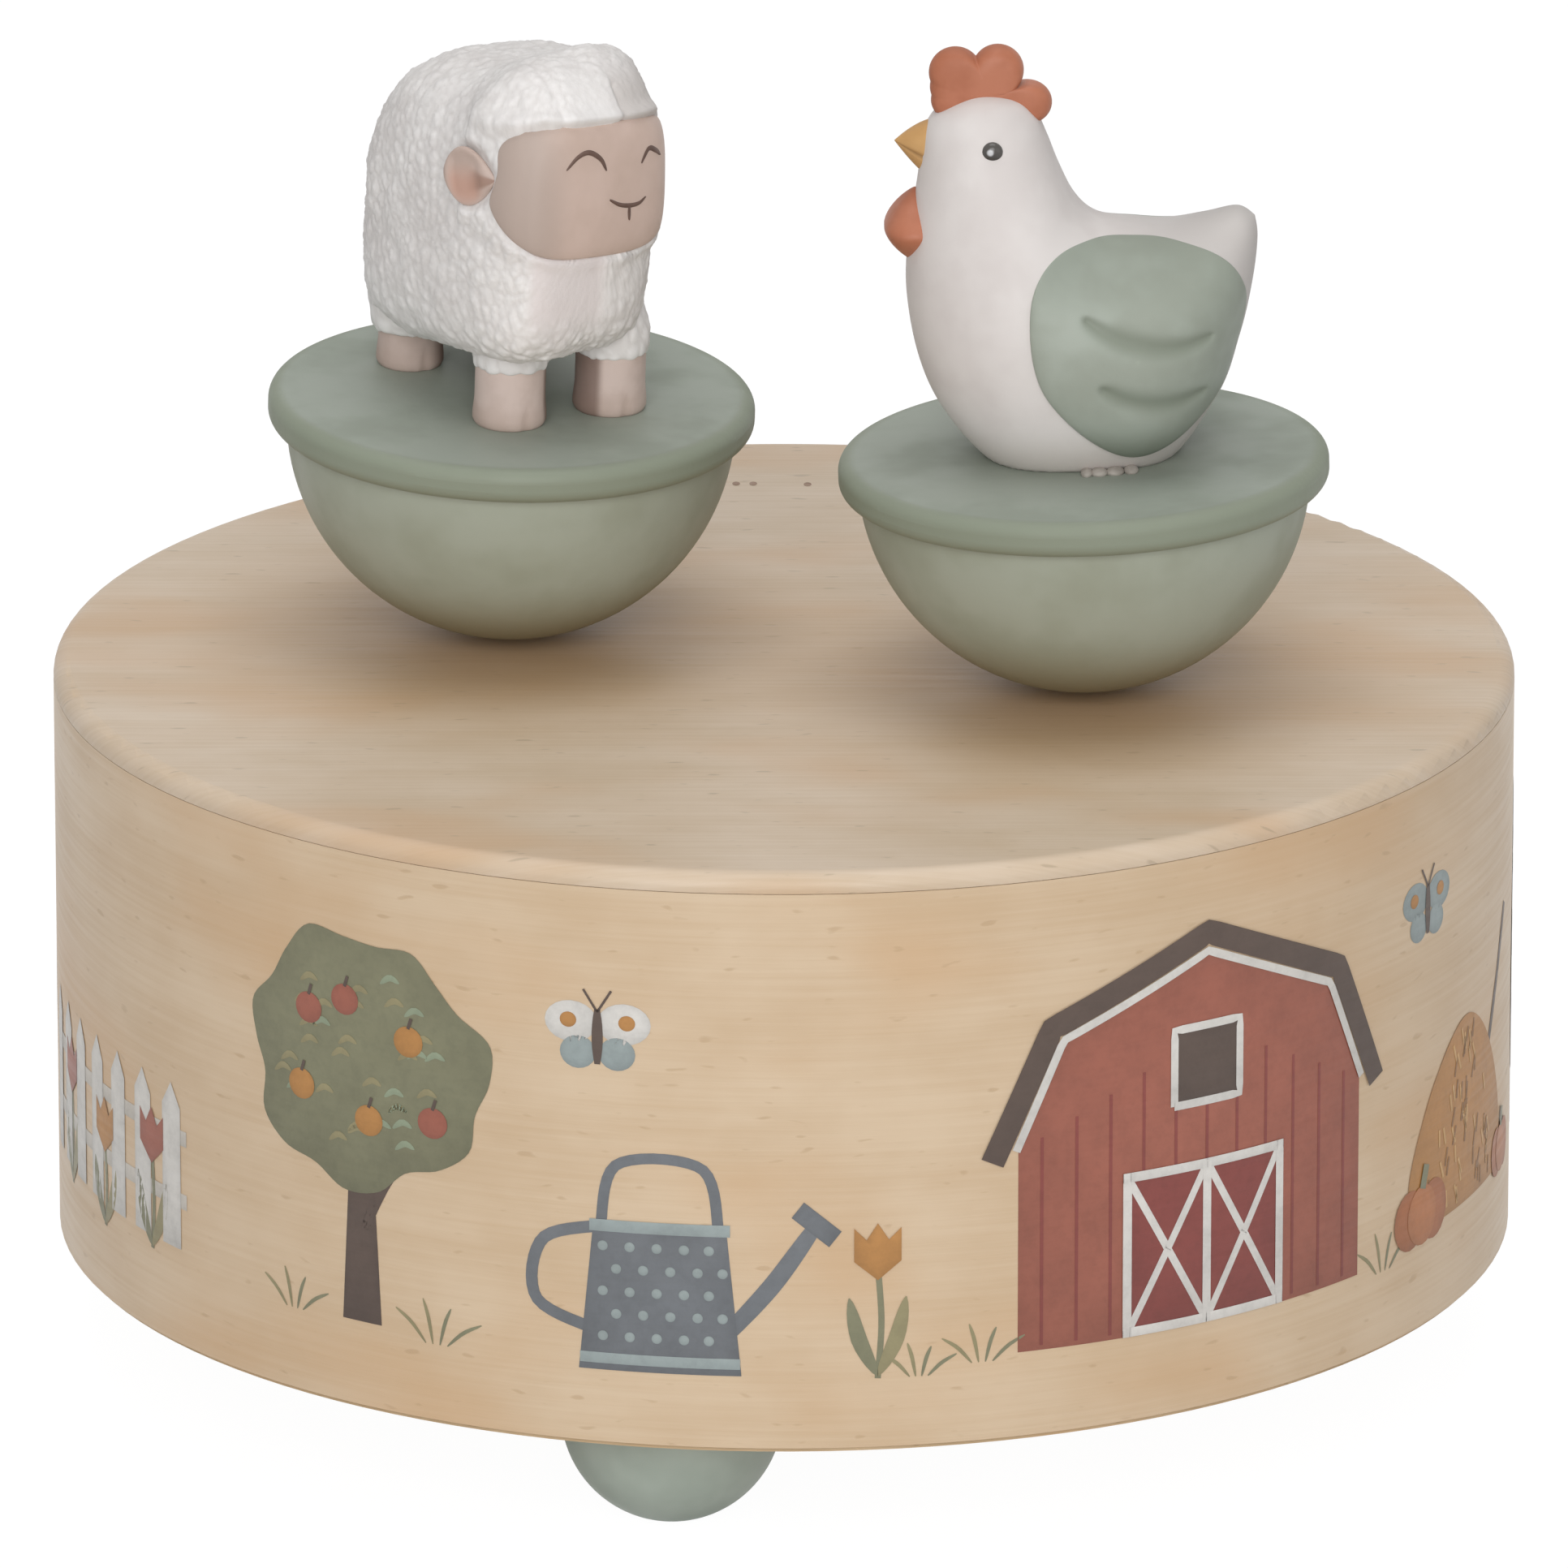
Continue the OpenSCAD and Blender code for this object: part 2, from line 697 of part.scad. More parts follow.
// Spiral strip between the arbor and the barrel wall
module mainspring() {
    r0 = arbor_r + 0.5 + spring_t;
    r1 = barrel_r - barrel_wall - glue_fit - spring_t;
    steps = 30 * spring_turns;
    line = [for (i = [0 : steps]) [r0 + (r1 - r0) * i / steps, 360 * spring_turns * i / steps]];
    color("#7F8386")
        translate([key_x, key_y, z_drum - 1])
            linear_extrude(barrel_h + 0.6)
                polygon(concat(
                    [for (q = line) [(q[0] + spring_t / 2) * cos(q[1]), (q[0] + spring_t / 2) * sin(q[1])]],
                    [for (i = [steps : -1 : 0]) let (q = line[i])
                        [(q[0] - spring_t / 2) * cos(q[1]), (q[0] - spring_t / 2) * sin(q[1])]]));
}

module tune_cylinder() {
    color("#C2A04E")
        translate([x_cyl, key_y, z_axle])
            rotate([0, 90, 0])
                difference() {
                    union() {
                        cylinder(r = cyl_r, h = cyl_l);
                        for (i = [0 : notes - 1])
                            for (k = [0 : 1])
                                translate([0, 0, comb_edge + tine_pitch * (i + 0.5)])
                                    rotate([90, 0, 137.5 * i + 150 * k + 11 * i * k])
                                        cylinder(d = pin_d, h = cyl_r + pin_h, $fn = 16);
                    }
                    translate([0, 0, -1])
                        cylinder(r = axle_r + press_fit, h = cyl_l + 2);
                }
}

module cylinder_axle() {
    color("#8E9092")
        translate([key_x + crown_r - small_gear_t / 2 - 0.4, key_y, z_axle])
            rotate([0, 90, 0])
                cylinder(r = axle_r, h = x_post2 + post_t - key_x - crown_r + small_gear_t / 2 + 0.4);
}

module cylinder_pinion() {
    thick = 0.27 * crown_pitch;
    color("#D8D6CE")
        translate([key_x + crown_r - small_gear_t / 2, key_y, z_axle])
            rotate([0, 90, 0])
                difference() {
                    union() {
                        cylinder(r = pinion_pr - 0.75, h = small_gear_t);
                        for (i = [0 : pinion_teeth - 1])
                            rotate([0, 0, 360 * i / pinion_teeth])
                                translate([0, -thick / 2, 0])
                                    cube([pinion_pr + crown_bite - 0.05, thick, small_gear_t]);
                    }
                    translate([0, 0, -1])
                        cylinder(r = axle_r + press_fit, h = small_gear_t + 2);
                }
}

module cylinder_gear() {
    color("#D8D6CE")
        translate([x_gear, key_y, z_axle])
            rotate([90, 0, 90])
                difference() {
                    linear_extrude(small_gear_t)
                        fine_gear(gov_gear_teeth, 0);
                    translate([0, 0, -1])
                        cylinder(r = axle_r + press_fit, h = small_gear_t + 2);
                }
}

module tone_comb() {
    color("#A9ADB0")
        difference() {
            translate([comb_x, y_back, z_comb])
                cube([comb_l, y_tip - y_back, comb_t]);
            for (i = [1 : notes - 1])
                translate([comb_x + tine_pitch * i - tine_slit / 2, y_heel, z_comb - 1])
                    cube([tine_slit, tine_l + 1, comb_t + 2]);
            for (p = comb_holes)
                translate([p[0], p[1], z_comb - 1])
                    cylinder(d = comb_screw_d + 2 * glue_fit, h = comb_t + 2);
        }
}

module comb_screws() {
    color("#8E9092")
        for (p = comb_holes)
            translate([p[0], p[1], z_comb + comb_t])
                rotate([180, 0, 0])
                    pan_screw(comb_screw_d, comb_t + comb_bite);
}

module governor_shaft() {
    color("#8E9092")
        translate([x_gear - 0.6, gov_y, z_axle])
            rotate([90, 0, 90])
                union() {
                    cylinder(d = gov_shaft_d, h = x_end - x_gear + 0.4);
                    translate([0, 0, 0.6])
                        linear_extrude(small_gear_t)
                            fine_gear(gov_pinion_teeth, 180 + 180 / gov_pinion_teeth);
                }
}

module governor_fly() {
    color("#C9C3B4")
        translate([x_fly, gov_y, z_axle])
            rotate([90, 0, 90])
                difference() {
                    union() {
                        cylinder(d = gov_shaft_d + 1.6, h = fly_l);
                        translate([-fly_span / 2, -0.35, 0.5])
                            cube([fly_span, 0.7, fly_l - 1]);
                    }
                    translate([0, 0, -1])
                        cylinder(d = gov_shaft_d + 2 * press_fit, h = fly_l + 2);
                }
}

// Rotor
module lower_bush() {
    color("#C2A04E")
        difference() {
            translate([rotor_x, rotor_y, z_floor])
                cylinder(r = bush_r, h = bed_t);
            translate([rotor_x, rotor_y, z_floor + bush_floor])
                cylinder(r = shaft_r + run_fit, h = bed_t);
        }
}

module upper_bush() {
    color("#C2A04E")
        difference() {
            translate([rotor_x, rotor_y, z_roof - bush_lip])
                cylinder(r = bush_r, h = bush_h);
            translate([rotor_x, rotor_y, z_roof - 1])
                cylinder(r = shaft_r + run_fit, h = bush_h);
        }
}

module rotor_shaft() {
    color("#8E9092")
        translate([rotor_x, rotor_y, z_floor + bush_floor + end_play])
            cylinder(r = shaft_r, h = z_roof + bush_h / 2 - z_floor - bush_floor - end_play);
}

module rotor_gear() {
    color("#D8D6CE")
        difference() {
            translate([rotor_x, rotor_y, z_flange])
                linear_extrude(flange_t)
                    coarse_gear(rotor_teeth, train_turn + 180 / rotor_teeth);
            translate([rotor_x, rotor_y, z_flange - 1])
                cylinder(r = shaft_r + press_fit, h = flange_t + 2);
        }
}

module rotor_arm() {
    color("#B9B4A6")
        translate([rotor_x, rotor_y, 0])
            rotate([0, 0, orbit_turn])
                difference() {
                    union() {
                        translate([-orbit_r, -arm_w / 2, z_arm])
                            cube([2 * orbit_r, arm_w, arm_t]);
                        translate([0, 0, z_arm - hub_h])
                            cylinder(r = shaft_r + hub_wall, h = arm_t + hub_h);
                        for (s = [-1, 1])
                            translate([s * orbit_r, 0, z_arm])
                                cylinder(r = cup_r, h = cup_floor + drive_t - cup_low);
                    }
                    for (s = [-1, 1])
                        translate([s * orbit_r, 0, z_drive])
                            cylinder(r = drive_r + run_fit, h = drive_t + 1);
                    translate([0, 0, z_arm - hub_h - 1])
                        cylinder(r = shaft_r + press_fit, h = arm_t + hub_h + 2);
                }
}

module drive_magnet(side) {
    color("#6E7072")
        translate([rotor_x, rotor_y, z_drive])
            rotate([0, 0, orbit_turn])
                translate([side * orbit_r, 0, 0])
                    cylinder(r = drive_r, h = drive_t);
}

// Tumbler pieces, all about the bowl's centre
module bowl(raise) {
    rotate_extrude($fn = 120)
        intersection() {
            difference() {
                circle(r = bowl_r, $fn = 120);
                circle(r = bowl_in, $fn = 120);
            }
            translate([0, -bowl_r])
                square([bowl_r, bowl_r + seat + raise]);
        }
}

module figure_plate(drilled) {
    difference() {
        union() {
            translate([0, 0, seat])
                rotate_extrude($fn = 120)
                    union() {
                        square([plate_r - plate_round, plate_t]);
                        translate([0, plate_round])
                            square([plate_r, plate_t - 2 * plate_round]);
                        translate([plate_r - plate_round, plate_round])
                            circle(r = plate_round, $fn = 48);
                        translate([plate_r - plate_round, plate_t - plate_round])
                            circle(r = plate_round, $fn = 48);
                    }
            translate([0, 0, seat - ring_h])
                difference() {
                    cylinder(r = ring_r, h = ring_h, $fn = 96);
                    translate([0, 0, -1])
                        cylinder(r = ring_r - 2, h = ring_h + 1, $fn = 96);
                }
        }
        if (drilled)
            translate([0, 0, seat - 1])
                cylinder(d = hen_screw_d + 2 * glue_fit, h = plate_t + 2);
        else
            rotate([0, 0, sheep_turn])
                at_legs()
                    translate([0, 0, plate_rise - leg_peg - glue_fit])
                        cylinder(d = leg_d - 2 + 2 * glue_fit, h = leg_peg + 1);
    }
}

module ballast() {
    rotate_extrude($fn = 96)
        difference() {
            intersection() {
                circle(r = bowl_in - glue_fit, $fn = 96);
                translate([0, -bowl_r])
                    square([bowl_r, bowl_r - ballast_drop]);
            }
            difference() {
                polygon([[0, 0], [0, -bowl_r], [bowl_r * tan(chamber_half), -bowl_r]]);
                circle(r = chamber_r, $fn = 96);
            }
        }
}

module float_magnet() {
    rotate_extrude($fn = 96)
        intersection() {
            difference() {
                circle(r = bowl_in - float_gap, $fn = 96);
                circle(r = bowl_in - float_gap - magnet_t, $fn = 96);
            }
            polygon([[0, 0], [0, -bowl_r], [bowl_r * tan(magnet_half), -bowl_r]]);
        }
}

// Sheep, standing at X = Y = 0 on its plate at Z = 0 and facing +X
leg_out = 0.228 * fleece_w;
leg_fore = 0.229 * fleece_l;
leg_aft = -0.335 * fleece_l;
fore_shift = 1;
leg_sink = 3.8;
ear_sink = 1.4;

// The forelegs stand a little to the left, under the turned head
module at_leg(fore, side) {
    translate([fore ? leg_fore : leg_aft, side * leg_out + (fore ? fore_shift : 0), 0])
        children();
}

module at_legs() {
    for (fore = [true, false])
        for (s = [-1, 1])
            at_leg(fore, s)
                children();
}

// Rows of the fleece: station, underside, top, half width, turn
fleece_rows = [
    [-0.490, 0.400, 0.400, 0.000, 0],
    [-0.475, 0.165, 0.610, 0.260, 0],
    [-0.420, 0.130, 0.735, 0.375, 0],
    [-0.310, 0.122, 0.815, 0.457, 0],
    [-0.180, 0.130, 0.868, 0.490, 0],
    [-0.030, 0.145, 0.895, 0.497, 0.1],
    [0.110, 0.165, 0.925, 0.490, 0.35],
    [0.240, 0.185, 0.985, 0.475, 0.7],
    [0.350, 0.205, 0.988, 0.443, 1],
    [0.430, 0.235, 0.940, 0.380, 1],
    [0.482, 0.330, 0.850, 0.280, 1],
    [0.500, 0.630, 0.630, 0.000, 1]];
upper_round = 0.70;
lower_round = 0.40;
fleece_rings = 30;
fleece_seg = 32;

// One fleece section at the share s of its length: station, middle, half height, half width, turn
function fleece_section(s) =
    let (q = along(fleece_rows, s))
    [
        q[0] * fleece_l,
        (q[1] + q[2]) / 2 * sheep_h,
        (q[2] - q[1]) / 2 * sheep_h,
        q[3] * fleece_w,
        q[4] * head_turn];

// A point of a section, swung by the turn of the head
function swung(x, y, z, turn) =
    [x * cos(turn) - y * sin(turn), 0.1 * x * sin(turn) + y * cos(turn), z];

// A point of the fleece at the share s of its length and the angle a round it
function fleece_point(s, a) =
    let (q = fleece_section(s), e = sin(a) < 0 ? lower_round : upper_round)
    swung(q[0], q[3] * squared(cos(a), e), q[1] + q[2] * squared(sin(a), e), q[4]);

// How far out of a section the place y, z lies, with 1 on its edge
function fleece_level(s, y, z) =
    let (q = fleece_section(s), p = 2 / (z < q[1] ? lower_round : upper_round))
    pow(abs(y) / max(q[3], 0.01), p) + pow(abs(z - q[1]) / max(q[2], 0.01), p);

// The share of the length at which the front of the fleece passes the place y, z
function front_share(y, z, a = 0.6, b = 1, steps = 18) =
    let (m = (a + b) / 2)
    steps == 0 ? m :
    fleece_level(m, y, z) > 1 ? front_share(y, z, a, m, steps - 1) : front_share(y, z, m, b, steps - 1);

// A point on the front of the fleece at the place y, z, lifted by up away from the head's middle
function front_point(y, z, up) =
    let (q = fleece_section(front_share(y, z)), p = swung(q[0], y, z, q[4]), d = p - [0.2 * fleece_l, 0, z])
    p + up * d / norm(d);

module fleece_skin(rows, seg) {
    rings = [for (i = [1 : rows - 1]) let (s = 0.5 - 0.5 * cos(180 * i / rows))
        [for (j = [0 : seg - 1]) fleece_point(s, 360 * j / seg)]];
    skin(fleece_point(0, 0), rings, fleece_point(1, 0));
}

module sheep_fleece() {
    color("#D6D2CF")
        on_sheep_plate()
            difference() {
                fleece_skin(fleece_rings, fleece_seg);
                at_legs()
                    translate([0, 0, -1])
                        cylinder(d = leg_d + 2 * glue_fit, h = leg_h + leg_sink + 1 + glue_fit);
            }
}

// The face lies on the front of the head, a rounded patch from brow to chin
face_half_w = 0.431 * fleece_w;
face_half_h = 0.177 * sheep_h;
face_mid = 0.677 * sheep_h;
face_slant = 0.08;
brow_round = 0.46;
chin_round = 0.62;

module sheep_face() {
    rings = 8;
    seg = 40;
    function ring(k, up) = [for (j = [0 : seg - 1])
        let (a = 360 * j / seg, e = sin(a) > 0 ? brow_round : chin_round,
            y = face_half_w * k / rings * squared(cos(a), e))
        front_point(
            y,
            face_mid - face_slant * y + face_half_h * k / rings * squared(sin(a), e),
            wing_gap + up * sqrt(1 - pow(k / rings, 4)))];
    color("#BFAA9C")
        on_sheep_plate()
            skin(
                front_point(0, face_mid, wing_gap),
                concat(
                    [for (k = [1 : rings]) ring(k, 0)],
                    [for (k = [rings - 1 : -1 : 1]) ring(k, face_t)]),
                front_point(0, face_mid, face_t + wing_gap));
}

// One leaf-shaped ear, seated on the fleece behind the cheek and swept back along it
ear_station = 0.33 * fleece_l;
ear_level = 0.715 * sheep_h;
ear_half_w = 0.46 * ear_l;
ear_flat = 0.35;
ear_droop = 6;
ear_sweep = 166;

module sheep_ear(side) {
    rings = 10;
    seg = 16;
    color("#B39C8B")
        on_sheep_plate()
            difference() {
                translate(swung(ear_station, side * (fleece_w / 2 - ear_sink), ear_level, head_turn))
                    rotate([0, 0, 0.6 * head_turn])
                        rotate([0, ear_droop, side * ear_sweep])
                            skin(
                                [0, 0, 0],
                                [for (k = [1 : rings - 1])
                                    let (t = k / rings, h = ear_half_w * pow(sin(180 * pow(t, 1.25)), 0.6))
                                    [for (j = [0 : seg - 1])
                                        let (a = 360 * j / seg)
                                        [ear_l * t, ear_flat * h * cos(a), h * sin(a)]]],
                                [ear_l, 0, 0]);
                fleece_skin(fleece_rings, fleece_seg);
            }
}

// One leg: a short post with a flared hoof, a peg below and a cleft in front
module sheep_leg(fore, side) {
    color("#B8A391")
        on_sheep_plate()
            at_leg(fore, side)
                difference() {
                    union() {
                        translate([0, 0, -leg_peg])
                            cylinder(d = leg_d - 2, h = leg_peg + 1);
                        cylinder(d1 = leg_d + 0.5, d2 = leg_d, h = leg_h / 3);
                        cylinder(d = leg_d, h = leg_h + leg_sink);
                    }
                    translate([0.36 * leg_d, -0.35, -0.5])
                        cube([leg_d, 0.7, 2]);
                }
}

// Hen, standing on its plate at Z = 0 and facing -X.
// Rows of the body from tail to crown: back line X and Z, front line X and Z, half width
hen_rows = [
    [0.506, 0.632, 0.506, 0.632, 0.000],
    [0.455, 0.655, 0.512, 0.572, 0.115],
    [0.362, 0.640, 0.495, 0.460, 0.240],
    [0.258, 0.626, 0.456, 0.318, 0.360],
    [0.155, 0.634, 0.382, 0.146, 0.443],
    [0.056, 0.650, 0.192, -0.047, 0.490],
    [-0.002, 0.700, -0.175, -0.057, 0.500],
    [-0.044, 0.785, -0.408, 0.158, 0.474],
    [-0.075, 0.867, -0.488, 0.459, 0.396],
    [-0.108, 0.937, -0.445, 0.772, 0.292],
    [-0.161, 0.981, -0.407, 0.924, 0.198],
    [-0.273, 1.003, -0.273, 1.003, 0.000]];

hen_bite = 8.5;
hen_rings = 34;
hen_seg = 32;

// One rib of the hen's body at the share s from tail to crown: middle, half rib, half width
function hen_rib(s) =
    let (q = along(hen_rows, s), b = [q[0] * hen_l, q[1] * hen_h], f = [q[2] * hen_l, q[3] * hen_h])
    [(b + f) / 2, (b - f) / 2, q[4] * hen_w];

// A point of the hen's body at the share s and the angle a round the rib, pressed flat on the plate
function hen_point(s, a) =
    let (r = hen_rib(s), p = r[0] + r[1] * cos(a))
    [p[0], r[2] * sin(a), max(0, p[1])];

// The share at which the ribs pass the place p of the side view
function rib_share(p, a = 0.02, b = 0.98, steps = 18) =
    let (m = (a + b) / 2, r = hen_rib(m))
    steps == 0 ? m :
    cross(-r[1], p - r[0]) > 0 ? rib_share(p, a, m, steps - 1) : rib_share(p, m, b, steps - 1);

// Half width of the body at the place p of the side view
function flank(p) =
    let (r = hen_rib(rib_share(p)), c = (p - r[0]) * r[1] / (r[1] * r[1]))
    r[2] * sqrt(max(0, 1 - c * c));

module hen_skin(rows, seg) {
    rings = [for (i = [1 : rows - 1]) let (s = 0.5 - 0.5 * cos(180 * i / rows))
        [for (j = [0 : seg - 1]) hen_point(s, 360 * j / seg)]];
    skin(hen_point(0, 0), rings, hen_point(1, 0));
}

module hen_body() {
    color("#DAD4D0")
        on_hen_plate()
            difference() {
                hen_skin(hen_rings, hen_seg);
                translate([0, 0, -1])
                    cylinder(d = hen_screw_d + 2 * glue_fit, h = hen_bite + 1 + drill_over);
            }
}

// Outline of a wing in the side view, round from the shoulder by the tail and the foot
wing_edge = [[0.115, 0.62], [0.37, 0.58], [0.455, 0.48], [0.425, 0.33], [0.34, 0.145],
    [0.13, 0.05], [-0.1, 0.25], [-0.135, 0.46], [-0.05, 0.57]];
wing_mid = [0.16, 0.34];

// A raised wing on one flank, a rounded drop that follows the body
module hen_wing(side) {
    rings = 8;
    seg = 36;
    function place(k, j) =
        let (p = wing_mid + (around(wing_edge, j / seg) - wing_mid) * k / rings)
        [p[0] * hen_l, p[1] * hen_h];
    function lifted(p, up) = [p[0], -flank(p) - up, p[1]];
    function ring(k, up) = [for (j = [0 : seg - 1])
        lifted(place(k, j), wing_gap + up * sqrt(1 - pow(k / rings, 4)))];
    color("#9FAA9A")
        on_hen_plate()
            mirror([0, side > 0 ? 1 : 0, 0])
                skin(
                    lifted(place(0, 0), wing_gap),
                    concat(
                        [for (k = [1 : rings]) ring(k, 0)],
                        [for (k = [rings - 1 : -1 : 1]) ring(k, wing_t)]),
                    lifted(place(0, 0), wing_t + wing_gap));
}

// Distance from the crest's middle to the far side of a round lobe, in the direction a
function lobe(c, r, a) =
    let (b = c * [cos(a), sin(a)], d = r * r - c * c + b * b)
    d > 0 && b >= 0 ? b + sqrt(d) : 0;

// Lobes of the crest: middle and radius
crest_lobes = [
    [[0, 0], 2.2],
    [[-3.3, -0.4], 1.6],
    [[-2.9, 1.9], 2.1],
    [[0.5, 1.9], 2.2],
    [[3.1, -1], 1.6]];

module hen_crest() {
    rings = 7;
    seg = 60;
    function reach(a) = max([for (q = crest_lobes) lobe(q[0], q[1], a)]);
    color("#C4674A")
        on_hen_plate()
            difference() {
                translate([-0.23 * hen_l, 0, 0.985 * hen_h])
                    skin(
                        [0, crest_t / 2, 0],
                        [for (k = [1 : 2 * rings - 1])
                            let (t = 90 - 90 * k / rings, w = sqrt(cos(t)))
                            [for (j = [0 : seg - 1])
                                let (a = 360 * j / seg)
                                [reach(a) * w * cos(a), crest_t / 2 * sin(t), reach(a) * w * sin(a)]]],
                        [0, -crest_t / 2, 0]);
                hen_skin(hen_rings, hen_seg);
            }
}

module hen_beak() {
    beak_rise = 0.08 * beak_h;
    rings = 8;
    seg = 20;
    color("#C89B4A")
        on_hen_plate()
            difference() {
                translate([-0.355 * hen_l, 0, 0.842 * hen_h])
                    skin(
                        [0, 0, 0],
                        [for (k = [1 : rings - 1])
                            let (t = k / rings, w = pow(1 - pow(t, 2.2), 0.8))
                            [for (j = [0 : seg - 1])
                                let (a = 360 * j / seg)
                                [
                                    -beak_l * t,
                                    beak_w / 2 * w * cos(a),
                                    beak_rise * t + beak_h / 2 * w * sin(a)]]],
                        [-beak_l, 0, beak_rise]);
                hen_skin(hen_rings, hen_seg);
            }
}

module hen_wattle() {
    rings = 12;
    seg = 20;
    color("#C4674A")
        on_hen_plate()
            difference() {
                translate([-0.465 * hen_l, 0, 0.635 * hen_h])
                    skin(
                        [0, 0, -wattle_h / 2],
                        [for (k = [1 : rings - 1])
                            let (t = -90 + 180 * k / rings, w = cos(t) * (1 - 0.25 * sin(t)))
                            [for (j = [0 : seg - 1])
                                let (a = 360 * j / seg)
                                [
                                    wattle_l / 2 * w * cos(a),
                                    wattle_w / 2 * w * sin(a),
                                    wattle_h / 2 * sin(t)]]],
                        [0, 0, wattle_h / 2]);
                hen_skin(hen_rings, hen_seg);
            }
}

module hen_eyes() {
    eye = [-0.232 * hen_l, 0.875 * hen_h];
    color("#3C3836")
        on_hen_plate()
            difference() {
                for (s = [-1, 1])
                    translate([eye[0], s * (flank(eye) - 0.15 * eye_d), eye[1]])
                        sphere(d = eye_d, $fn = 24);
                hen_skin(hen_rings, hen_seg);
            }
}

module hen_screw() {
    color("#9A9C9E")
        at_hen()
            translate([0, 0, seat])
                pan_screw(hen_screw_d, plate_t + hen_bite);
}

// The tumblers' pieces in place
module sheep_bowl() {
    color("#9FAA9A")
        at_sheep()
            bowl(sheep_raise);
}

module sheep_plate() {
    color("#A5AF9F")
        at_sheep()
            translate([0, 0, sheep_raise])
                figure_plate(false);
}

module sheep_ballast() {
    color("#77797A")
        at_sheep()
            ballast();
}

module sheep_magnet() {
    color("#6E7072")
        at_sheep()
            float_magnet();
}

module hen_bowl() {
    color("#9FAA9A")
        at_hen()
            bowl(0);
}

module hen_plate() {
    color("#A5AF9F")
        at_hen()
            figure_plate(true);
}

module hen_ballast() {
    color("#77797A")
        at_hen()
            ballast();
}

module hen_magnet() {
    color("#6E7072")
        at_hen()
            float_magnet();
}

top_plate();
drum_hoop();
printed_wrap();
base_plate();
base_screws();
foot(0);  // foot_front
foot(1);  // foot_right
foot(2);  // foot_left
foot_screws();
bedplate();
bed_screws();
winding_arbor();
winding_key();
spring_barrel();
barrel_cover();
mainspring();
tune_cylinder();
cylinder_axle();
cylinder_pinion();
cylinder_gear();
tone_comb();
comb_screws();
governor_shaft();
governor_fly();
lower_bush();
upper_bush();
rotor_shaft();
rotor_gear();
rotor_arm();
drive_magnet(-1);  // sheep_drive_magnet
drive_magnet(1);  // hen_drive_magnet
sheep_bowl();
sheep_plate();
sheep_ballast();
sheep_magnet();
sheep_fleece();
sheep_face();
sheep_ear(1);  // sheep_ear_left
sheep_ear(-1);  // sheep_ear_right
sheep_leg(true, 1);  // sheep_leg_front_left
sheep_leg(true, -1);  // sheep_leg_front_right
sheep_leg(false, 1);  // sheep_leg_back_left
sheep_leg(false, -1);  // sheep_leg_back_right
hen_bowl();
hen_plate();
hen_ballast();
hen_magnet();
hen_body();
hen_wing(-1);  // hen_wing_left
hen_wing(1);  // hen_wing_right
hen_crest();
hen_beak();
hen_wattle();
hen_eyes();
hen_screw();
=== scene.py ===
# %% [markdown]
# # Toy music box
# A round wooden drum on ball feet, printed on its side, with a sheep and a hen that rock on round bowls.
# The CAD model gives every solid its place and size. This lesson dresses it: wood, paint, cast resin and
# print. Lengths are written in millimetres and turned into metres when a mesh is made.

# %% Load the frame
import math
import bpy
import numpy as np
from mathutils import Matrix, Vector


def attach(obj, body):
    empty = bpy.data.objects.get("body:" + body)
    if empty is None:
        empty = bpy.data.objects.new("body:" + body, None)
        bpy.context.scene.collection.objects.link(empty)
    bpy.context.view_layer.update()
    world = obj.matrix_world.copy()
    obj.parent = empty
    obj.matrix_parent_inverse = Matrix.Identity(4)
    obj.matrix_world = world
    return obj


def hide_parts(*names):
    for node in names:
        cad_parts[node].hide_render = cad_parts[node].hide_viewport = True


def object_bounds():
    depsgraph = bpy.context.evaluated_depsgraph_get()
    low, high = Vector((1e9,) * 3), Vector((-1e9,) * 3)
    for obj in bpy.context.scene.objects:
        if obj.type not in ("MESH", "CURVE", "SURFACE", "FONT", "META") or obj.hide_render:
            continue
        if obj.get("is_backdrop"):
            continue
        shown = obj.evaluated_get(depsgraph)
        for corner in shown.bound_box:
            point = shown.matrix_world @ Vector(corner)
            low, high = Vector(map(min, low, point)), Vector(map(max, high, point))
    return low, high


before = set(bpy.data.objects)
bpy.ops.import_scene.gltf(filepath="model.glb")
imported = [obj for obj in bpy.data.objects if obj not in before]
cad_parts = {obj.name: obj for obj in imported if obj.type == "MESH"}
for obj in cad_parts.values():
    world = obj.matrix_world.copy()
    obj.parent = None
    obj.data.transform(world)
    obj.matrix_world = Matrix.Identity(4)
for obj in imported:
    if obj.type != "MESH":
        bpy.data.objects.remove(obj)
cad_box = [list(corner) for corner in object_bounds()]
MM = 0.001


def in_mm(box):
    """A box's two corners in rounded millimetres."""
    return [[round(c / MM, 2) for c in corner] for corner in box]


print("CAD box in mm:", in_mm(cad_box))

# %% [markdown]
# ## Camera
# The picture is taken from far away with a long lens, so the drum's rims are clean ellipses. The lens and
# the height come from fitting both rims, and the camera looks a little above the drum's middle.

# %% Camera
EYE_DISTANCE, EYE_ELEVATION, EYE_TARGET_Z = 1587.75, 18.153, 34.9
LENS, SENSOR, LOOK_DOWN = 441.6, 36.0, 17.716

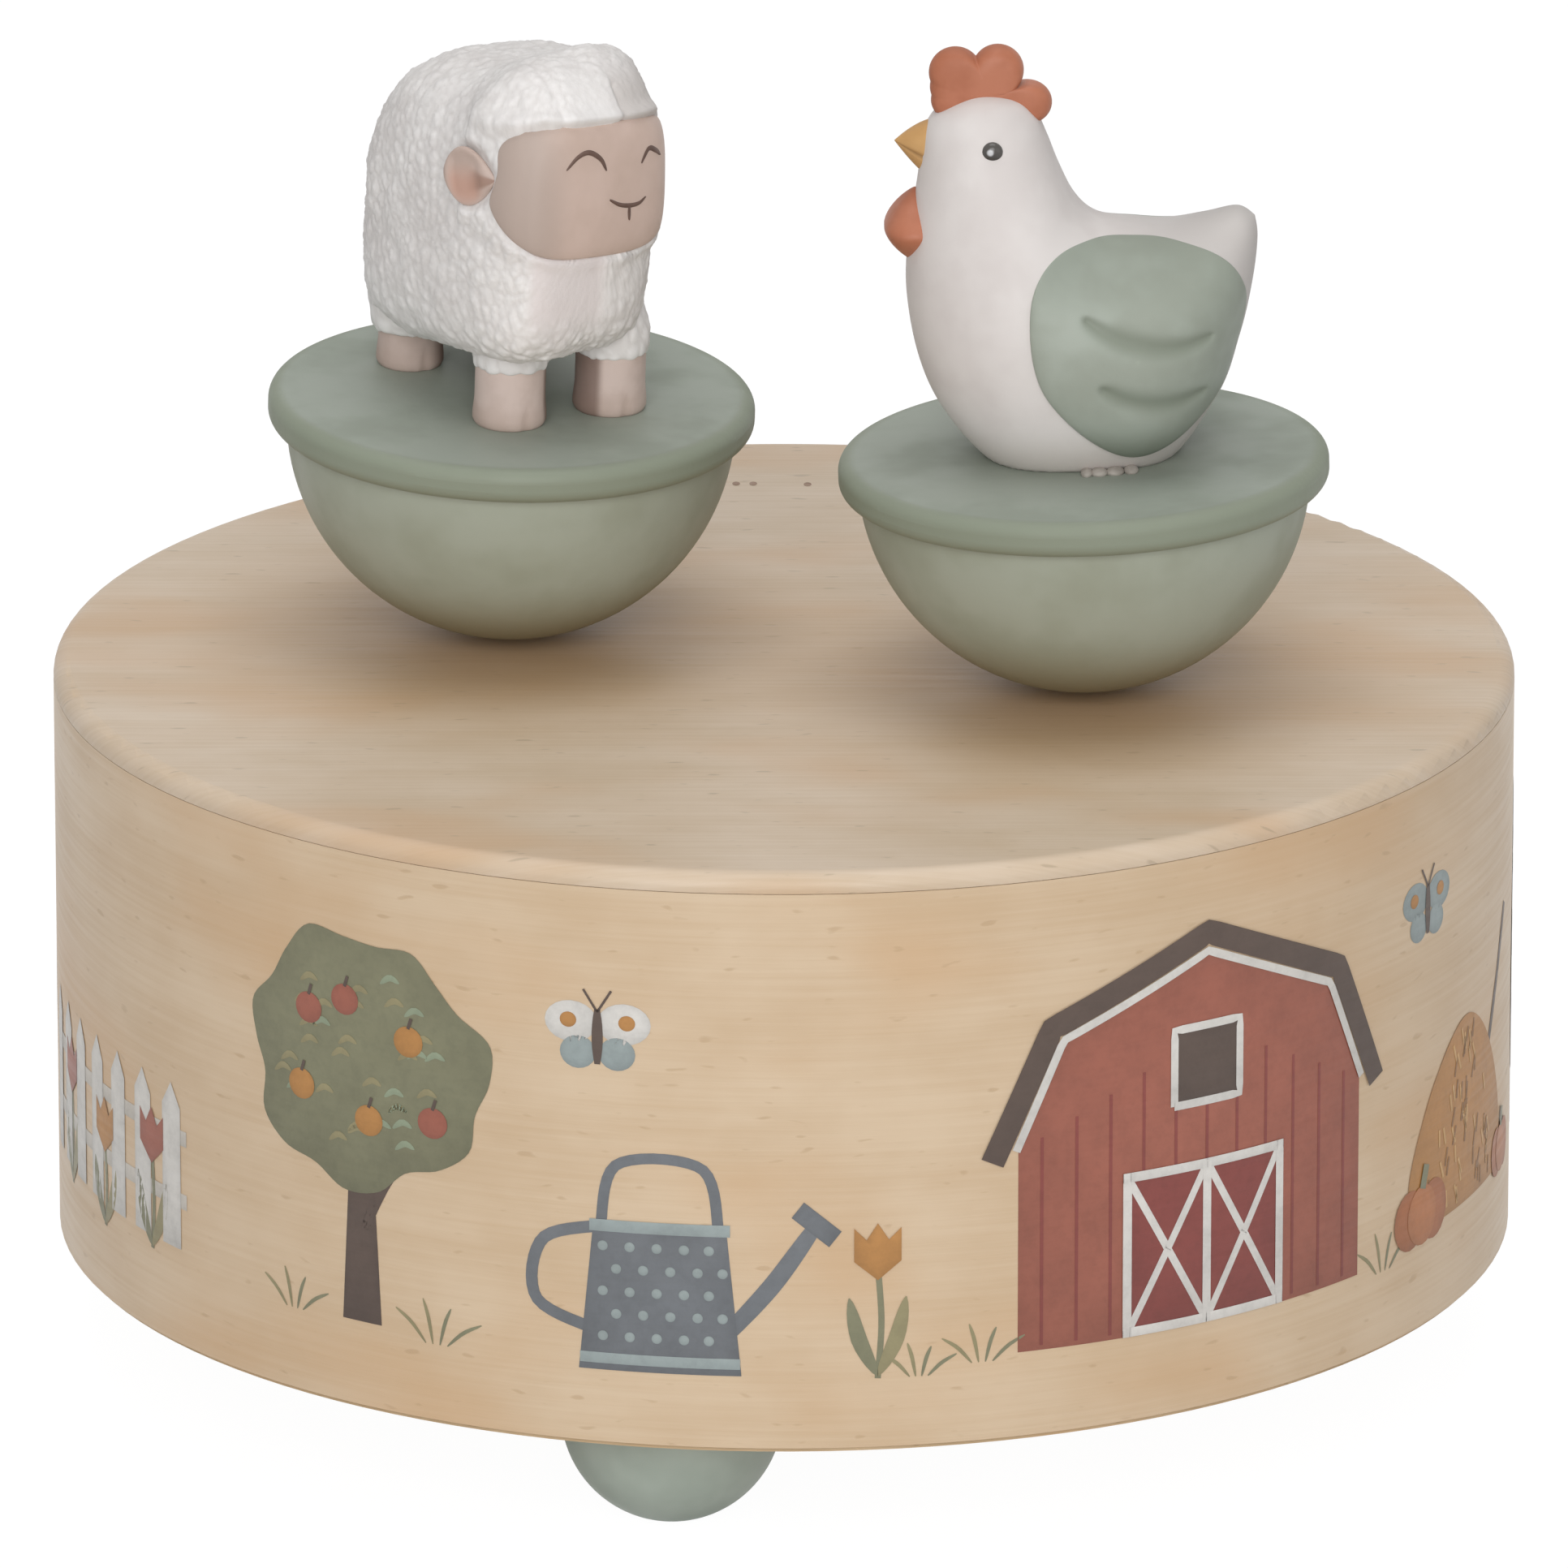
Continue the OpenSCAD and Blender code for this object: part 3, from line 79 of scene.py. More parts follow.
camera_data = bpy.data.cameras.new("camera")
camera_data.lens = LENS
camera_data.sensor_width = SENSOR
camera = bpy.data.objects.new("camera", camera_data)
rise = math.radians(EYE_ELEVATION)
camera.location = (
    0,
    -EYE_DISTANCE * math.cos(rise) * MM,
    (EYE_TARGET_Z + EYE_DISTANCE * math.sin(rise)) * MM)
camera.rotation_euler = (math.radians(90 - LOOK_DOWN), 0, 0)
bpy.context.scene.collection.objects.link(camera)
bpy.context.scene.camera = camera
print("camera at", [round(c, 4) for c in camera.location])

# %% [markdown]
# ## Colours
# Colours are written as on a paint card, in sRGB, because that is how they are picked. The renderer
# adds up light, so every colour is first turned into linear values.

# %% Colours
def linear(card):
    """Linear red, green, blue of an sRGB hex colour: c / 12.92 if dark, else ((c + 0.055) / 1.055)^2.4."""
    c = np.array([int(card[i:i + 2], 16) for i in (1, 3, 5)]) / 255
    return np.where(c <= 0.04045, c / 12.92, ((c + 0.055) / 1.055) ** 2.4)


def paint(card):
    """The same colour with full alpha, as a colour socket wants it."""
    return (*linear(card), 1)


print("a middle grey card, #808080, is", linear("#808080").round(3), "in linear light")

# %% [markdown]
# ## Nodes in a few words
# A shader is a net of small nodes. It could be wired node by node, but that hides the idea in plumbing. One
# helper makes a node, sets its choices and links or sets each input, so a material reads as a list.

# %% Helpers for shader nodes
def node(tree, kind, inputs=None, **choices):
    """A node of the kind, with its choices set and each input linked to a socket or set to a value."""
    made = tree.nodes.new("ShaderNode" + kind)
    for name, value in choices.items():
        setattr(made, name, value)
    for name, value in (inputs or {}).items():
        if isinstance(value, bpy.types.NodeSocket):
            tree.links.new(value, made.inputs[name])
        else:
            made.inputs[name].default_value = value
    return made.outputs


def math_node(tree, operation, a, b=0.0):
    """The result of one sum on two values or sockets."""
    return node(tree, "Math", {0: a, 1: b}, operation=operation)[0]


def mix_colour(tree, factor, a, b, blend="MIX"):
    """Colour a where the factor is 0, the blend of a and b where it is 1."""
    return node(tree, "Mix", {0: factor, 6: a, 7: b}, data_type="RGBA", blend_type=blend)[2]


def ramp(tree, value, low, high, to_low=0.0, to_high=1.0):
    """A smooth step: to_low below low, to_high above high, an S-curve between."""
    inputs = {"Value": value, "From Min": low, "From Max": high, "To Min": to_low, "To Max": to_high}
    return node(tree, "MapRange", inputs, interpolation_type="SMOOTHSTEP")[0]


def noise(tree, vector, scale, detail=2.0, roughness=0.5):
    """Cloudy noise from 0 to 1 with the given number of bumps to a unit of the vector."""
    inputs = {"Vector": vector, "Scale": scale, "Detail": detail, "Roughness": roughness}
    return node(tree, "TexNoise", inputs)[0]


def object_place(tree):
    """A point's place on its piece, in metres: it stays with the piece when the piece moves."""
    return node(tree, "TexCoord")["Object"]


print("node helpers:", ", ".join(f.__name__ for f in (node, math_node, mix_colour, ramp, noise)))

# %% [markdown]
# ## Groups and materials
# An effect that several finishes share, such as wood grain, is a node group: a net with named inputs and
# outputs, built once and placed in each material with its own values. The shader stays in the material.

# %% Helpers for groups and materials
SOCKETS = {"value": "NodeSocketFloat", "colour": "NodeSocketColor", "vector": "NodeSocketVector"}


def new_group(name, inputs, outputs):
    """An empty node group with named sockets, and its two ends."""
    group = bpy.data.node_groups.new(name, "ShaderNodeTree")
    for way, sockets in (("INPUT", inputs), ("OUTPUT", outputs)):
        for socket, kind in sockets.items():
            group.interface.new_socket(socket, in_out=way, socket_type=SOCKETS[kind])
    return group, group.nodes.new("NodeGroupInput").outputs, group.nodes.new("NodeGroupOutput").inputs


def give_out(group, give, **sockets):
    """Links a group's results to its outputs, and says what the group holds."""
    for name, socket in sockets.items():
        group.links.new(socket, give[name])
    print(f"{group.name}: {len(group.nodes)} nodes, gives", ", ".join(sockets))
    return group


def new_look(name):
    """A new material, its node tree and its Principled shader."""
    look = bpy.data.materials.new(name)
    look.use_nodes = True
    return look, look.node_tree, look.node_tree.nodes["Principled BSDF"]


def feed(tree, shader, colour, roughness):
    """Links a colour and a roughness to a shader."""
    tree.links.new(colour, shader.inputs["Base Color"])
    tree.links.new(roughness, shader.inputs["Roughness"])


def emboss(tree, shader, height, strength, distance=0.0002):
    """Links a height to a shader as fine relief."""
    bump = node(tree, "Bump", {"Height": height, "Strength": strength, "Distance": distance})[0]
    tree.links.new(bump, shader.inputs["Normal"])


def tinted(tree, colour, masks):
    """A colour led to other colours, one after another, where their masks are 1."""
    for mask, card in masks:
        colour = mix_colour(tree, mask(tree), colour, paint(card))
    return colour


print("group sockets:", ", ".join(SOCKETS))

# %% [markdown]
# ## Studio
# The floor is pale and the light soft, as in a product picture. A broad lamp in front of the toy and a
# little above it gives most of the light, one overhead lights the tops, and a weak one opens the right
# side. The world fills the shadows. Behind the toy the camera sees white, and for the camera alone the
# floor glows, so that it stays nearly white but keeps a soft shadow.

# %% World and floor
WORLD_LIGHT, FLOOR_GLOW, GLOW_STRENGTH, FLOOR_REACH = 0.3, 0.88, 1.1, 4.0
PURE_WHITE, FLOOR_GREY = (1, 1, 1, 1), (0.7, 0.7, 0.7, 1)


def seen_directly(tree):
    """1 for rays from the camera, a mirror or glass, 0 for rays that only carry light."""
    path = node(tree, "LightPath")
    gloss = math_node(tree, "MAXIMUM", path["Is Glossy Ray"], path["Is Transmission Ray"])
    return math_node(tree, "MAXIMUM", path["Is Camera Ray"], gloss)


world = bpy.data.worlds.new("studio")
world.use_nodes = True
tree = world.node_tree
tree.nodes.clear()
soft = node(tree, "Background", {"Color": PURE_WHITE, "Strength": WORLD_LIGHT})[0]
white = node(tree, "Background", {"Color": PURE_WHITE, "Strength": 1.0})[0]
sky = node(tree, "MixShader", {0: seen_directly(tree), 1: soft, 2: white})[0]
node(tree, "OutputWorld", {"Surface": sky})
bpy.context.scene.world = world
bpy.context.scene.view_settings.view_transform = "Standard"

floor_look, tree, _ = new_look("studio_floor")
tree.nodes.clear()
matt = node(tree, "BsdfDiffuse", {"Color": FLOOR_GREY})[0]
glow = node(tree, "Emission", {"Color": PURE_WHITE, "Strength": GLOW_STRENGTH})[0]
share = math_node(tree, "MULTIPLY", seen_directly(tree), FLOOR_GLOW)
surface = node(tree, "MixShader", {0: share, 1: matt, 2: glow})[0]
node(tree, "OutputMaterial", {"Surface": surface})

corners = [(x * FLOOR_REACH, y * FLOOR_REACH, 0) for x, y in ((-1, -1), (1, -1), (1, 1), (-1, 1))]
floor_mesh = bpy.data.meshes.new("floor")
floor_mesh.from_pydata(corners, [], [(0, 1, 2, 3)])
floor_mesh.materials.append(floor_look)
floor = bpy.data.objects.new("floor", floor_mesh)
bpy.context.scene.collection.objects.link(floor)
floor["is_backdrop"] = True
print("world light", WORLD_LIGHT, "and a floor", 2 * FLOOR_REACH, "m wide")

# %% [markdown]
# ### Lamps
# Each lamp is a large square, because a large source gives soft edges to shadows. It is turned to face the
# toy: tilted from straight down by the angle of its aim, then swung round z.

# %% Lamps
LAMPS = {
    "key_lamp": ((-0.1, -1.33, 0.58), 11.5),
    "fill_lamp": ((1.0, -0.8, 0.4), 1.2),
    "top_lamp": ((0.0, 0.0, 1.3), 5.6)}
LAMP_SIZE, LAMP_AIM = 0.9, (0, 0, 0.06)

for name, (place, power) in LAMPS.items():
    data = bpy.data.lights.new(name, "AREA")
    data.size = LAMP_SIZE
    data.energy = power
    lamp = bpy.data.objects.new(name, data)
    lamp.location = place
    aim = np.array(LAMP_AIM) - np.array(place)
    lamp.rotation_euler = (math.atan2(math.hypot(aim[0], aim[1]), -aim[2]), 0, math.atan2(-aim[0], aim[1]))
    bpy.context.scene.collection.objects.link(lamp)
    print(name, "at", place, "with", power, "W")

# %% [markdown]
# ## Surfaces from arrays
# Every new piece is a set of points worked out at once with numpy: rows of points run along the piece
# and columns run round it. Neighbouring rows are joined by four-sided faces, and a fan of triangles
# closes each end. A few helpers do this for all pieces, so a piece's own code is only its formula.

# %% Grids and skins
NO_FANS = np.zeros((0, 3), int)


def grid_faces(rows, columns, wrap=True):
    """Corner numbers of a grid's faces, counted row by row; with wrap the last column meets the first."""
    r, c = np.meshgrid(np.arange(rows - 1), np.arange(columns if wrap else columns - 1), indexing="ij")
    here, beside = r * columns + c, r * columns + (c + 1) % columns
    return np.stack([here, beside, beside + columns, here + columns], -1).reshape(-1, 4)


def outward(points, quads, fans):
    """Turns a closed part's faces outwards: six times its volume is the sum of a . (b x c) on triangles."""
    corners = np.concatenate([quads[:, [0, 1, 2]], quads[:, [0, 2, 3]], fans])
    a, b, c = (points[corners[:, k]] - points.mean(0) for k in range(3))
    if np.einsum("ij,ij->i", a, np.cross(b, c)).sum() < 0:
        quads, fans = quads[:, ::-1], fans[:, ::-1]
    return points, quads, fans


def closed_skin(rings):
    """Points, quads and triangles over rings (rows, columns, 3), with a fan to each end ring's middle."""
    rows, columns = rings.shape[:2]
    points = np.concatenate([rings.reshape(-1, 3), [rings[0].mean(0), rings[-1].mean(0)]])
    first, last = np.arange(columns), (rows - 1) * columns + np.arange(columns)
    tip, tail = np.full(columns, rows * columns), np.full(columns, rows * columns + 1)
    fans = np.concatenate([
        np.stack([np.roll(first, -1), first, tip], -1), np.stack([last, np.roll(last, -1), tail], -1)])
    return outward(points, grid_faces(rows, columns), fans)


def torus_skin(rings):
    """Points and faces of a ring-shaped grid that closes both ways."""
    rows, columns = rings.shape[:2]
    return outward(rings.reshape(-1, 3), grid_faces(rows + 1, columns) % (rows * columns), NO_FANS)


def with_tips(values, share=1.0):
    """A share of each grid point's value, with 0 for the two points that close the ends."""
    return np.append(share * values.ravel(), [0, 0])


print("a grid of 3 rows and 8 columns has", len(grid_faces(3, 8)), "faces")

# %% [markdown]
# ## Meshes and pieces
# A mesh is filled from whole arrays, which is fast. A finished piece sits at the origin with its place in
# its mesh, as the CAD pieces do. It rides on a body, so it moves with that body's joints, and takes the
# look that it is given. Values on its points, such as crease shade, go with it as attributes.

# %% Meshes and pieces
def build_mesh(name, parts):
    """One smooth mesh from several parts, each of points in mm, quads and triangles."""
    starts = np.cumsum([0] + [len(part[0]) for part in parts])
    points = np.concatenate([part[0] for part in parts]) * MM
    quads = np.concatenate([part[1] + at for part, at in zip(parts, starts)]).astype(np.int32)
    fans = np.concatenate([part[2] + at for part, at in zip(parts, starts)]).astype(np.int32)
    loops = np.concatenate([4 * np.arange(len(quads)), quads.size + 3 * np.arange(len(fans))])
    mesh = bpy.data.meshes.new(name)
    mesh.vertices.add(len(points))
    mesh.vertices.foreach_set("co", points.astype(np.float32).ravel())
    mesh.loops.add(quads.size + fans.size)
    mesh.loops.foreach_set("vertex_index", np.concatenate([quads.ravel(), fans.ravel()]))
    mesh.polygons.add(len(quads) + len(fans))
    mesh.polygons.foreach_set("loop_start", loops.astype(np.int32))
    mesh.update(calc_edges=True)
    mesh.shade_smooth()
    return mesh


def make_piece(name, parts, body, look, nodes=(), values=None):
    """A finished piece: its mesh, its own values per point, its look, and the body it rides on."""
    mesh = build_mesh(name, parts)
    for key, data in (values or {}).items():
        kind, field = ("FLOAT_COLOR", "color") if data.ndim == 2 else ("FLOAT", "value")
        mesh.attributes.new(key, kind, "POINT").data.foreach_set(field, data.astype(np.float32).ravel())
    mesh.materials.append(look)
    piece = bpy.data.objects.new(name, mesh)
    bpy.context.scene.collection.objects.link(piece)
    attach(piece, body)
    if nodes:
        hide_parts(*nodes)
    print(f"{name}: {len(mesh.vertices)} points, {len(mesh.polygons)} faces, rides on {body}")


print("the frame holds", len(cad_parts), "CAD nodes to dress")

# %% [markdown]
# ### Curves, steps and turns
# An outline is kept as a short table, and a smooth curve through the table gives as many points as the
# mesh needs. Soft steps blend one form into another without an edge.

# %% Curves, steps and turns
def along(rows, share, closed=False):
    """Catmull-Rom curve through rows of values at shares 0 to 1; closed joins the last row to the first."""
    rows = np.asarray(rows, float)
    count = len(rows) if closed else len(rows) - 1
    place = np.clip(share, 0, 0.99999) * count
    i = np.floor(place).astype(int)
    t = (place - i)[..., None]
    near = [(i + k) % count if closed else np.clip(i + k, 0, count) for k in (-1, 0, 1, 2)]
    a, b, c, d = (rows[k] for k in near)
    bend, twist = 2 * a - 5 * b + 4 * c - d, 3 * b - a - 3 * c + d
    return 0.5 * (2 * b + (c - a) * t + bend * t ** 2 + twist * t ** 3)


def smooth(value, low, high):
    """0 below low, 1 above high, and the S-curve 3t^2 - 2t^3 between."""
    t = np.clip((value - low) / (high - low), 0, 1)
    return t * t * (3 - 2 * t)


def plateau(value, low, full, fall, end):
    """0 below low, 1 from full to fall, and 0 again past end."""
    return smooth(value, low, full) * (1 - smooth(value, fall, end))


def bulged(value, power):
    """A value raised to a power with its sign kept: below 1 it makes a circle boxy."""
    return np.sign(value) * np.abs(value) ** power


def full_turn(count):
    """Angles evenly round a circle, without the last one, which is the first again."""
    return np.linspace(0, 2 * np.pi, count, endpoint=False)


def half_turn(count):
    """A column of angles from -90 to 90 degrees, without the two ends."""
    return np.linspace(-np.pi / 2, np.pi / 2, count + 2)[1:-1, None]


def turned(points, axis, degrees):
    """Points turned about the x, y or z axis by the right-hand rule."""
    c, s = math.cos(math.radians(degrees)), math.sin(math.radians(degrees))
    matrix = {
        "x": [[1, 0, 0], [0, c, -s], [0, s, c]],
        "y": [[c, 0, s], [0, 1, 0], [-s, 0, c]],
        "z": [[c, -s, 0], [s, c, 0], [0, 0, 1]]}[axis]
    return points @ np.array(matrix).T


print("a smooth step at a quarter of the way is", smooth(0.25, 0, 1))

# %% [markdown]
# ## Wood
# The top and the veneer are pale, close-grained wood: broad soft bands, fine fibres and short pores, all
# stretched along the grain. A picture of wood would repeat and stretch, so one node group draws the grain
# from two lengths, along and across it.

# %% Wood grain group
def wood_grain_group():
    """Noise on (along * k, across * m): k far below m gives bands and fibres, k near m clouds and flecks."""
    group, take, give = new_group(
        "wood_grain",
        {"Along": "value", "Across": "value",
         "Pale": "colour", "Deep": "colour", "Warm": "colour", "Fleck": "colour"},
        {"Color": "colour", "Height": "value", "Streak": "value"})

    def streaks(k, m, detail, roughness):
        x, y = (math_node(group, "MULTIPLY", take[way], by) for way, by in (("Along", k), ("Across", m)))
        return noise(group, node(group, "CombineXYZ", {"X": x, "Y": y})[0], 1.0, detail, roughness)

    bands = streaks(0.010, 0.14, 3, 0.5)
    fibres = streaks(0.045, 2.0, 4, 0.62)
    clouds = streaks(0.07, 0.1, 3, 0.55)
    patches = streaks(0.03, 0.055, 2, 0.5)
    flecks = ramp(group, streaks(0.4, 1.2, 1, 0.4), 0.68, 0.78)
    lines = math_node(group, "MULTIPLY", math_node(group, "ADD", bands, fibres), 0.27)
    tone = math_node(group, "ADD", lines, math_node(group, "MULTIPLY", clouds, 0.46))
    colour = mix_colour(group, ramp(group, tone, 0.34, 0.66), take["Pale"], take["Deep"])
    colour = mix_colour(group, ramp(group, patches, 0.46, 0.7, 0.0, 0.65), colour, take["Warm"])
    colour = mix_colour(group, math_node(group, "MULTIPLY", flecks, 0.45), colour, take["Fleck"])
    relief = math_node(group, "SUBTRACT", fibres, math_node(group, "MULTIPLY", flecks, 0.6))
    return give_out(group, give, Color=colour, Height=relief, Streak=fibres)


wood_grain = wood_grain_group()

# %% [markdown]
# ### Grain on a board and round the drum
# A flat board is measured straight along X and Y. The veneer is bent round the drum, so there the length
# along the grain is the angle round the drum times its radius, with the butt joint at the back.

# %% Wood finish
DRUM_R = 60.0


def round_the_drum(tree):
    """Along: atan2(x, -y) times the radius, from the front's middle. Across: the height. Both in mm."""
    place = node(tree, "SeparateXYZ", {0: object_place(tree)})
    turn = math_node(tree, "ARCTAN2", place["X"], math_node(tree, "MULTIPLY", place["Y"], -1.0))
    return math_node(tree, "MULTIPLY", turn, DRUM_R), math_node(tree, "MULTIPLY", place["Z"], 1 / MM)


def along_the_board(tree):
    """Along: X. Across: Y plus Z. Both in mm."""
    place = node(tree, "SeparateXYZ", {0: object_place(tree)})
    across = math_node(tree, "ADD", place["Y"], place["Z"])
    return math_node(tree, "MULTIPLY", place["X"], 1 / MM), math_node(tree, "MULTIPLY", across, 1 / MM)


def wood_look(name, lengths, pale, deep, warm, fleck, dull, painted_shades=()):
    """A thinly lacquered wood: the grain's colour and relief, a low even shine, and painted shade where its
    masks are 1.
    """
    look, tree, shader = new_look(name)
    cards = {"Pale": paint(pale), "Deep": paint(deep), "Warm": paint(warm), "Fleck": paint(fleck)}
    run, cross = lengths(tree)
    grain = node(tree, "Group", {"Along": run, "Across": cross, **cards}, node_tree=wood_grain)
    shine = ramp(tree, grain["Streak"], 0.3, 0.7, dull - 0.05, dull + 0.05)
    feed(tree, shader, tinted(tree, grain["Color"], painted_shades), shine)
    emboss(tree, shader, grain["Height"], 0.12)
    return look


def dress(look, *names):
    """Gives a CAD node's object the look in all its material slots."""
    for name in names:
        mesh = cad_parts[name].data
        mesh.materials.clear()
        mesh.materials.append(look)
    print(look.name, "on", ", ".join(names))


veneer_wood = wood_look("veneer_wood", round_the_drum, "#D8C1A4", "#CBB08F", "#CDA981", "#B49672", 0.42)
hoop_wood = wood_look("hoop_wood", round_the_drum, "#D0B48E", "#B89A72", "#C4A075", "#8F7450", 0.55)
base_wood = wood_look("base_wood", along_the_board, "#CDB390", "#B59A76", "#C09C72", "#8C7350", 0.55)
dress(veneer_wood, "printed_wrap")
dress(hoop_wood, "drum_hoop")
dress(base_wood, "base_plate")

# %% [markdown]
# ### Painted shade round the bowls
# The two figures dance on the top, and round where they stand the lacquer is painted warmer and darker, as
# painted shade under their bowls. A mask is a small net that gives 1 where a colour changes: by distance
# from an upright axis, by height, or by a value that a piece carries on its points.

# %% Masks and the top
BOWL_AXES = {"sheep": (-22.3916, 5.2857), "hen": (24.3916, -9.2857)}
# Painted shade: the top warmer and darker round where each bowl stands.
CONTACT_SHADE_NEAR, CONTACT_SHADE_FAR, CONTACT_SHADE = 10.0, 36.0, "#C09A6E"


def ringed(axis, inner, outer, start=0.0, end=1.0):
    """A mask by distance in mm from an upright axis: start within inner, end past outer."""
    def mask(tree):
        centre = (axis[0] * MM, axis[1] * MM, 0.0)
        away = node(tree, "VectorMath", {0: object_place(tree), 1: centre}, operation="SUBTRACT")[0]
        flat = node(tree, "VectorMath", {0: away, 1: (1.0, 1.0, 0.0)}, operation="MULTIPLY")[0]
        length = node(tree, "VectorMath", {0: flat}, operation="LENGTH")["Value"]
        return ramp(tree, length, inner * MM, outer * MM, start, end)
    return mask


def below(low, high):
    """A mask by height in mm: 1 under low, 0 over high."""
    def mask(tree):
        height = node(tree, "SeparateXYZ", {0: object_place(tree)})["Z"]
        return ramp(tree, height, low * MM, high * MM, 1.0, 0.0)
    return mask


def on_points(value):
    """A mask that reads a value from the mesh's points."""
    return lambda tree: node(tree, "Attribute", attribute_name=value)["Fac"]


# Painted shade round both bowls, on the top's wood.
painted_contact_shade = [(ringed(axis, CONTACT_SHADE_NEAR, CONTACT_SHADE_FAR, 0.6, 0.0), CONTACT_SHADE) for axis in BOWL_AXES.values()]
top_wood = wood_look("top_wood", along_the_board, "#D5C2AC", "#C8B297", "#CAA782", "#9E8C74", 0.46, painted_contact_shade)
dress(top_wood, "top_plate")

# %% [markdown]
# ## Paint and resin
# Bowls, plates and feet wear a thick matt sage paint, and the figures are cast resin painted by hand. Both
# show faint clouds of colour, a fine orange-peel relief and a shine that varies a little. One group gives
# all three, and each finish sets its own two colours and sizes.

# %% Paint group
def paint_skin_group():
    """Two colours mixed by cloudy noise, a shine that follows the clouds, and fine bumps for the relief."""
    group, take, give = new_group(
        "paint_skin",
        {"Vector": "vector", "Base": "colour", "Cloud": "colour", "Clouds": "value", "Bumps": "value"},
        {"Color": "colour", "Shine": "value", "Height": "value"})
    clouds = noise(group, take["Vector"], take["Clouds"], 3, 0.55)
    bumps = noise(group, take["Vector"], take["Bumps"], 2, 0.5)
    colour = mix_colour(group, ramp(group, clouds, 0.38, 0.68), take["Base"], take["Cloud"])
    return give_out(group, give, Color=colour, Shine=ramp(group, clouds, 0.3, 0.7), Height=bumps)


paint_skin = paint_skin_group()

# %% [markdown]
# ### Bowls, plates and feet
# The bowls rock on the wood and are painted darker low down, as painted shade where they touch it, and the
# plates' rims are painted a little darker than their tops, as painted shade on their edges.

# %% Painted finish
PLATE_R = 20.0
# Painted shade: the bowls darker low down, where they touch the top.
BOWL_LOW_SHADE = (below(60.0, 68.0), "#8B8469")


def painted_look(name, base, cloud, clouds=120.0, bumps=1500.0, dull=0.6, relief=0.08, tint=None, painted_shades=()):
    """A painted skin; tint names values on the mesh's points, and the last argument lists masks of painted
    shade, each with its colour.
    """
    look, tree, shader = new_look(name)
    inputs = {"Vector": object_place(tree), "Base": paint(base), "Cloud": paint(cloud)}
    skin = node(tree, "Group", {**inputs, "Clouds": clouds, "Bumps": bumps}, node_tree=paint_skin)
    masks = [(on_points(value), card) for value, card in (tint or {}).items()]
    shine = ramp(tree, skin["Shine"], 0, 1, dull - 0.06, dull + 0.06)
    feed(tree, shader, tinted(tree, skin["Color"], masks + list(painted_shades)), shine)
    emboss(tree, shader, skin["Height"], relief)
    return look


dress(painted_look("bowl_paint", "#A1A799", "#989D8D", painted_shades=[BOWL_LOW_SHADE]), "sheep_bowl", "hen_bowl")
for name, axis in BOWL_AXES.items():
    # Painted shade: each plate's rim a little darker than its top.
    painted_rim_shade = (ringed(axis, PLATE_R - 1.6, PLATE_R - 0.5), "#858C7B")
    dress(painted_look(f"{name}_plate_paint", "#989F94", "#8F968A", painted_shades=[painted_rim_shade]), f"{name}_plate")
dress(painted_look("foot_paint", "#ADB7AC", "#A3ADA2"), "foot_front", "foot_right", "foot_left")

# %% [markdown]
# ## Metal and nylon
# Only the key and the screw heads show, underneath, but the works inside are dressed too, for anyone who
# opens the part. Turned and rolled metal has fine lines, so its group stretches noise along one axis and
# lets it vary both colour and shine.

# %% Metal group
def brushed_metal_group():
    """Noise squeezed along X into fine lines; the lines shift the colour and the shine."""
    group, take, give = new_group(
        "brushed_metal",
        {"Vector": "vector", "Base": "colour", "Line": "colour"},
        {"Color": "colour", "Shine": "value", "Height": "value"})
    squeezed = node(group, "Mapping", {"Vector": take["Vector"], "Scale": (40.0, 900.0, 900.0)})[0]
    lines = noise(group, squeezed, 1.0, 3, 0.6)
    colour = mix_colour(group, ramp(group, lines, 0.35, 0.7), take["Base"], take["Line"])
    return give_out(group, give, Color=colour, Shine=lines, Height=lines)


brushed_metal = brushed_metal_group()

# %% [markdown]
# ### The works
# Springs and screws are steel, the barrel and the tune cylinder are brass, the bed is cast, and the light
# gears are nylon, which takes the same finish as paint.

# %% Metal and nylon finishes
METALS = {
    "bright_steel": ("#C3C5C6", "#AEB1B3", 0.3, [
        "winding_key", "base_screws", "foot_screws", "bed_screws", "comb_screws", "hen_screw",
        "winding_arbor", "cylinder_axle", "governor_shaft", "rotor_shaft", "tone_comb"]),
    "blued_steel": ("#7D8084", "#696C71", 0.36, ["mainspring"]),
    "brass": ("#CDAA62", "#B9954F", 0.3, [
        "spring_barrel", "barrel_cover", "tune_cylinder", "lower_bush", "upper_bush"]),
    "cast_bed": ("#A9ABAC", "#97999B", 0.5, ["bedplate"]),
    "ballast_iron": ("#77797A", "#67696B", 0.55, ["sheep_ballast", "hen_ballast"]),
    "magnet_nickel": ("#B4B5B4", "#A2A4A4", 0.25, [
        "sheep_drive_magnet", "hen_drive_magnet", "sheep_magnet", "hen_magnet"])}


def metal_look(name, base, line, dull):
    """Brushed metal: fully metallic, with the lines' colour, shine and relief."""
    look, tree, shader = new_look(name)
    inputs = {"Vector": object_place(tree), "Base": paint(base), "Line": paint(line)}
    brushed = node(tree, "Group", inputs, node_tree=brushed_metal)
    feed(tree, shader, brushed["Color"], ramp(tree, brushed["Shine"], 0.2, 0.8, dull - 0.08, dull + 0.08))
    emboss(tree, shader, brushed["Height"], 0.1, 0.0001)
    shader.inputs["Metallic"].default_value = 1.0
    return look


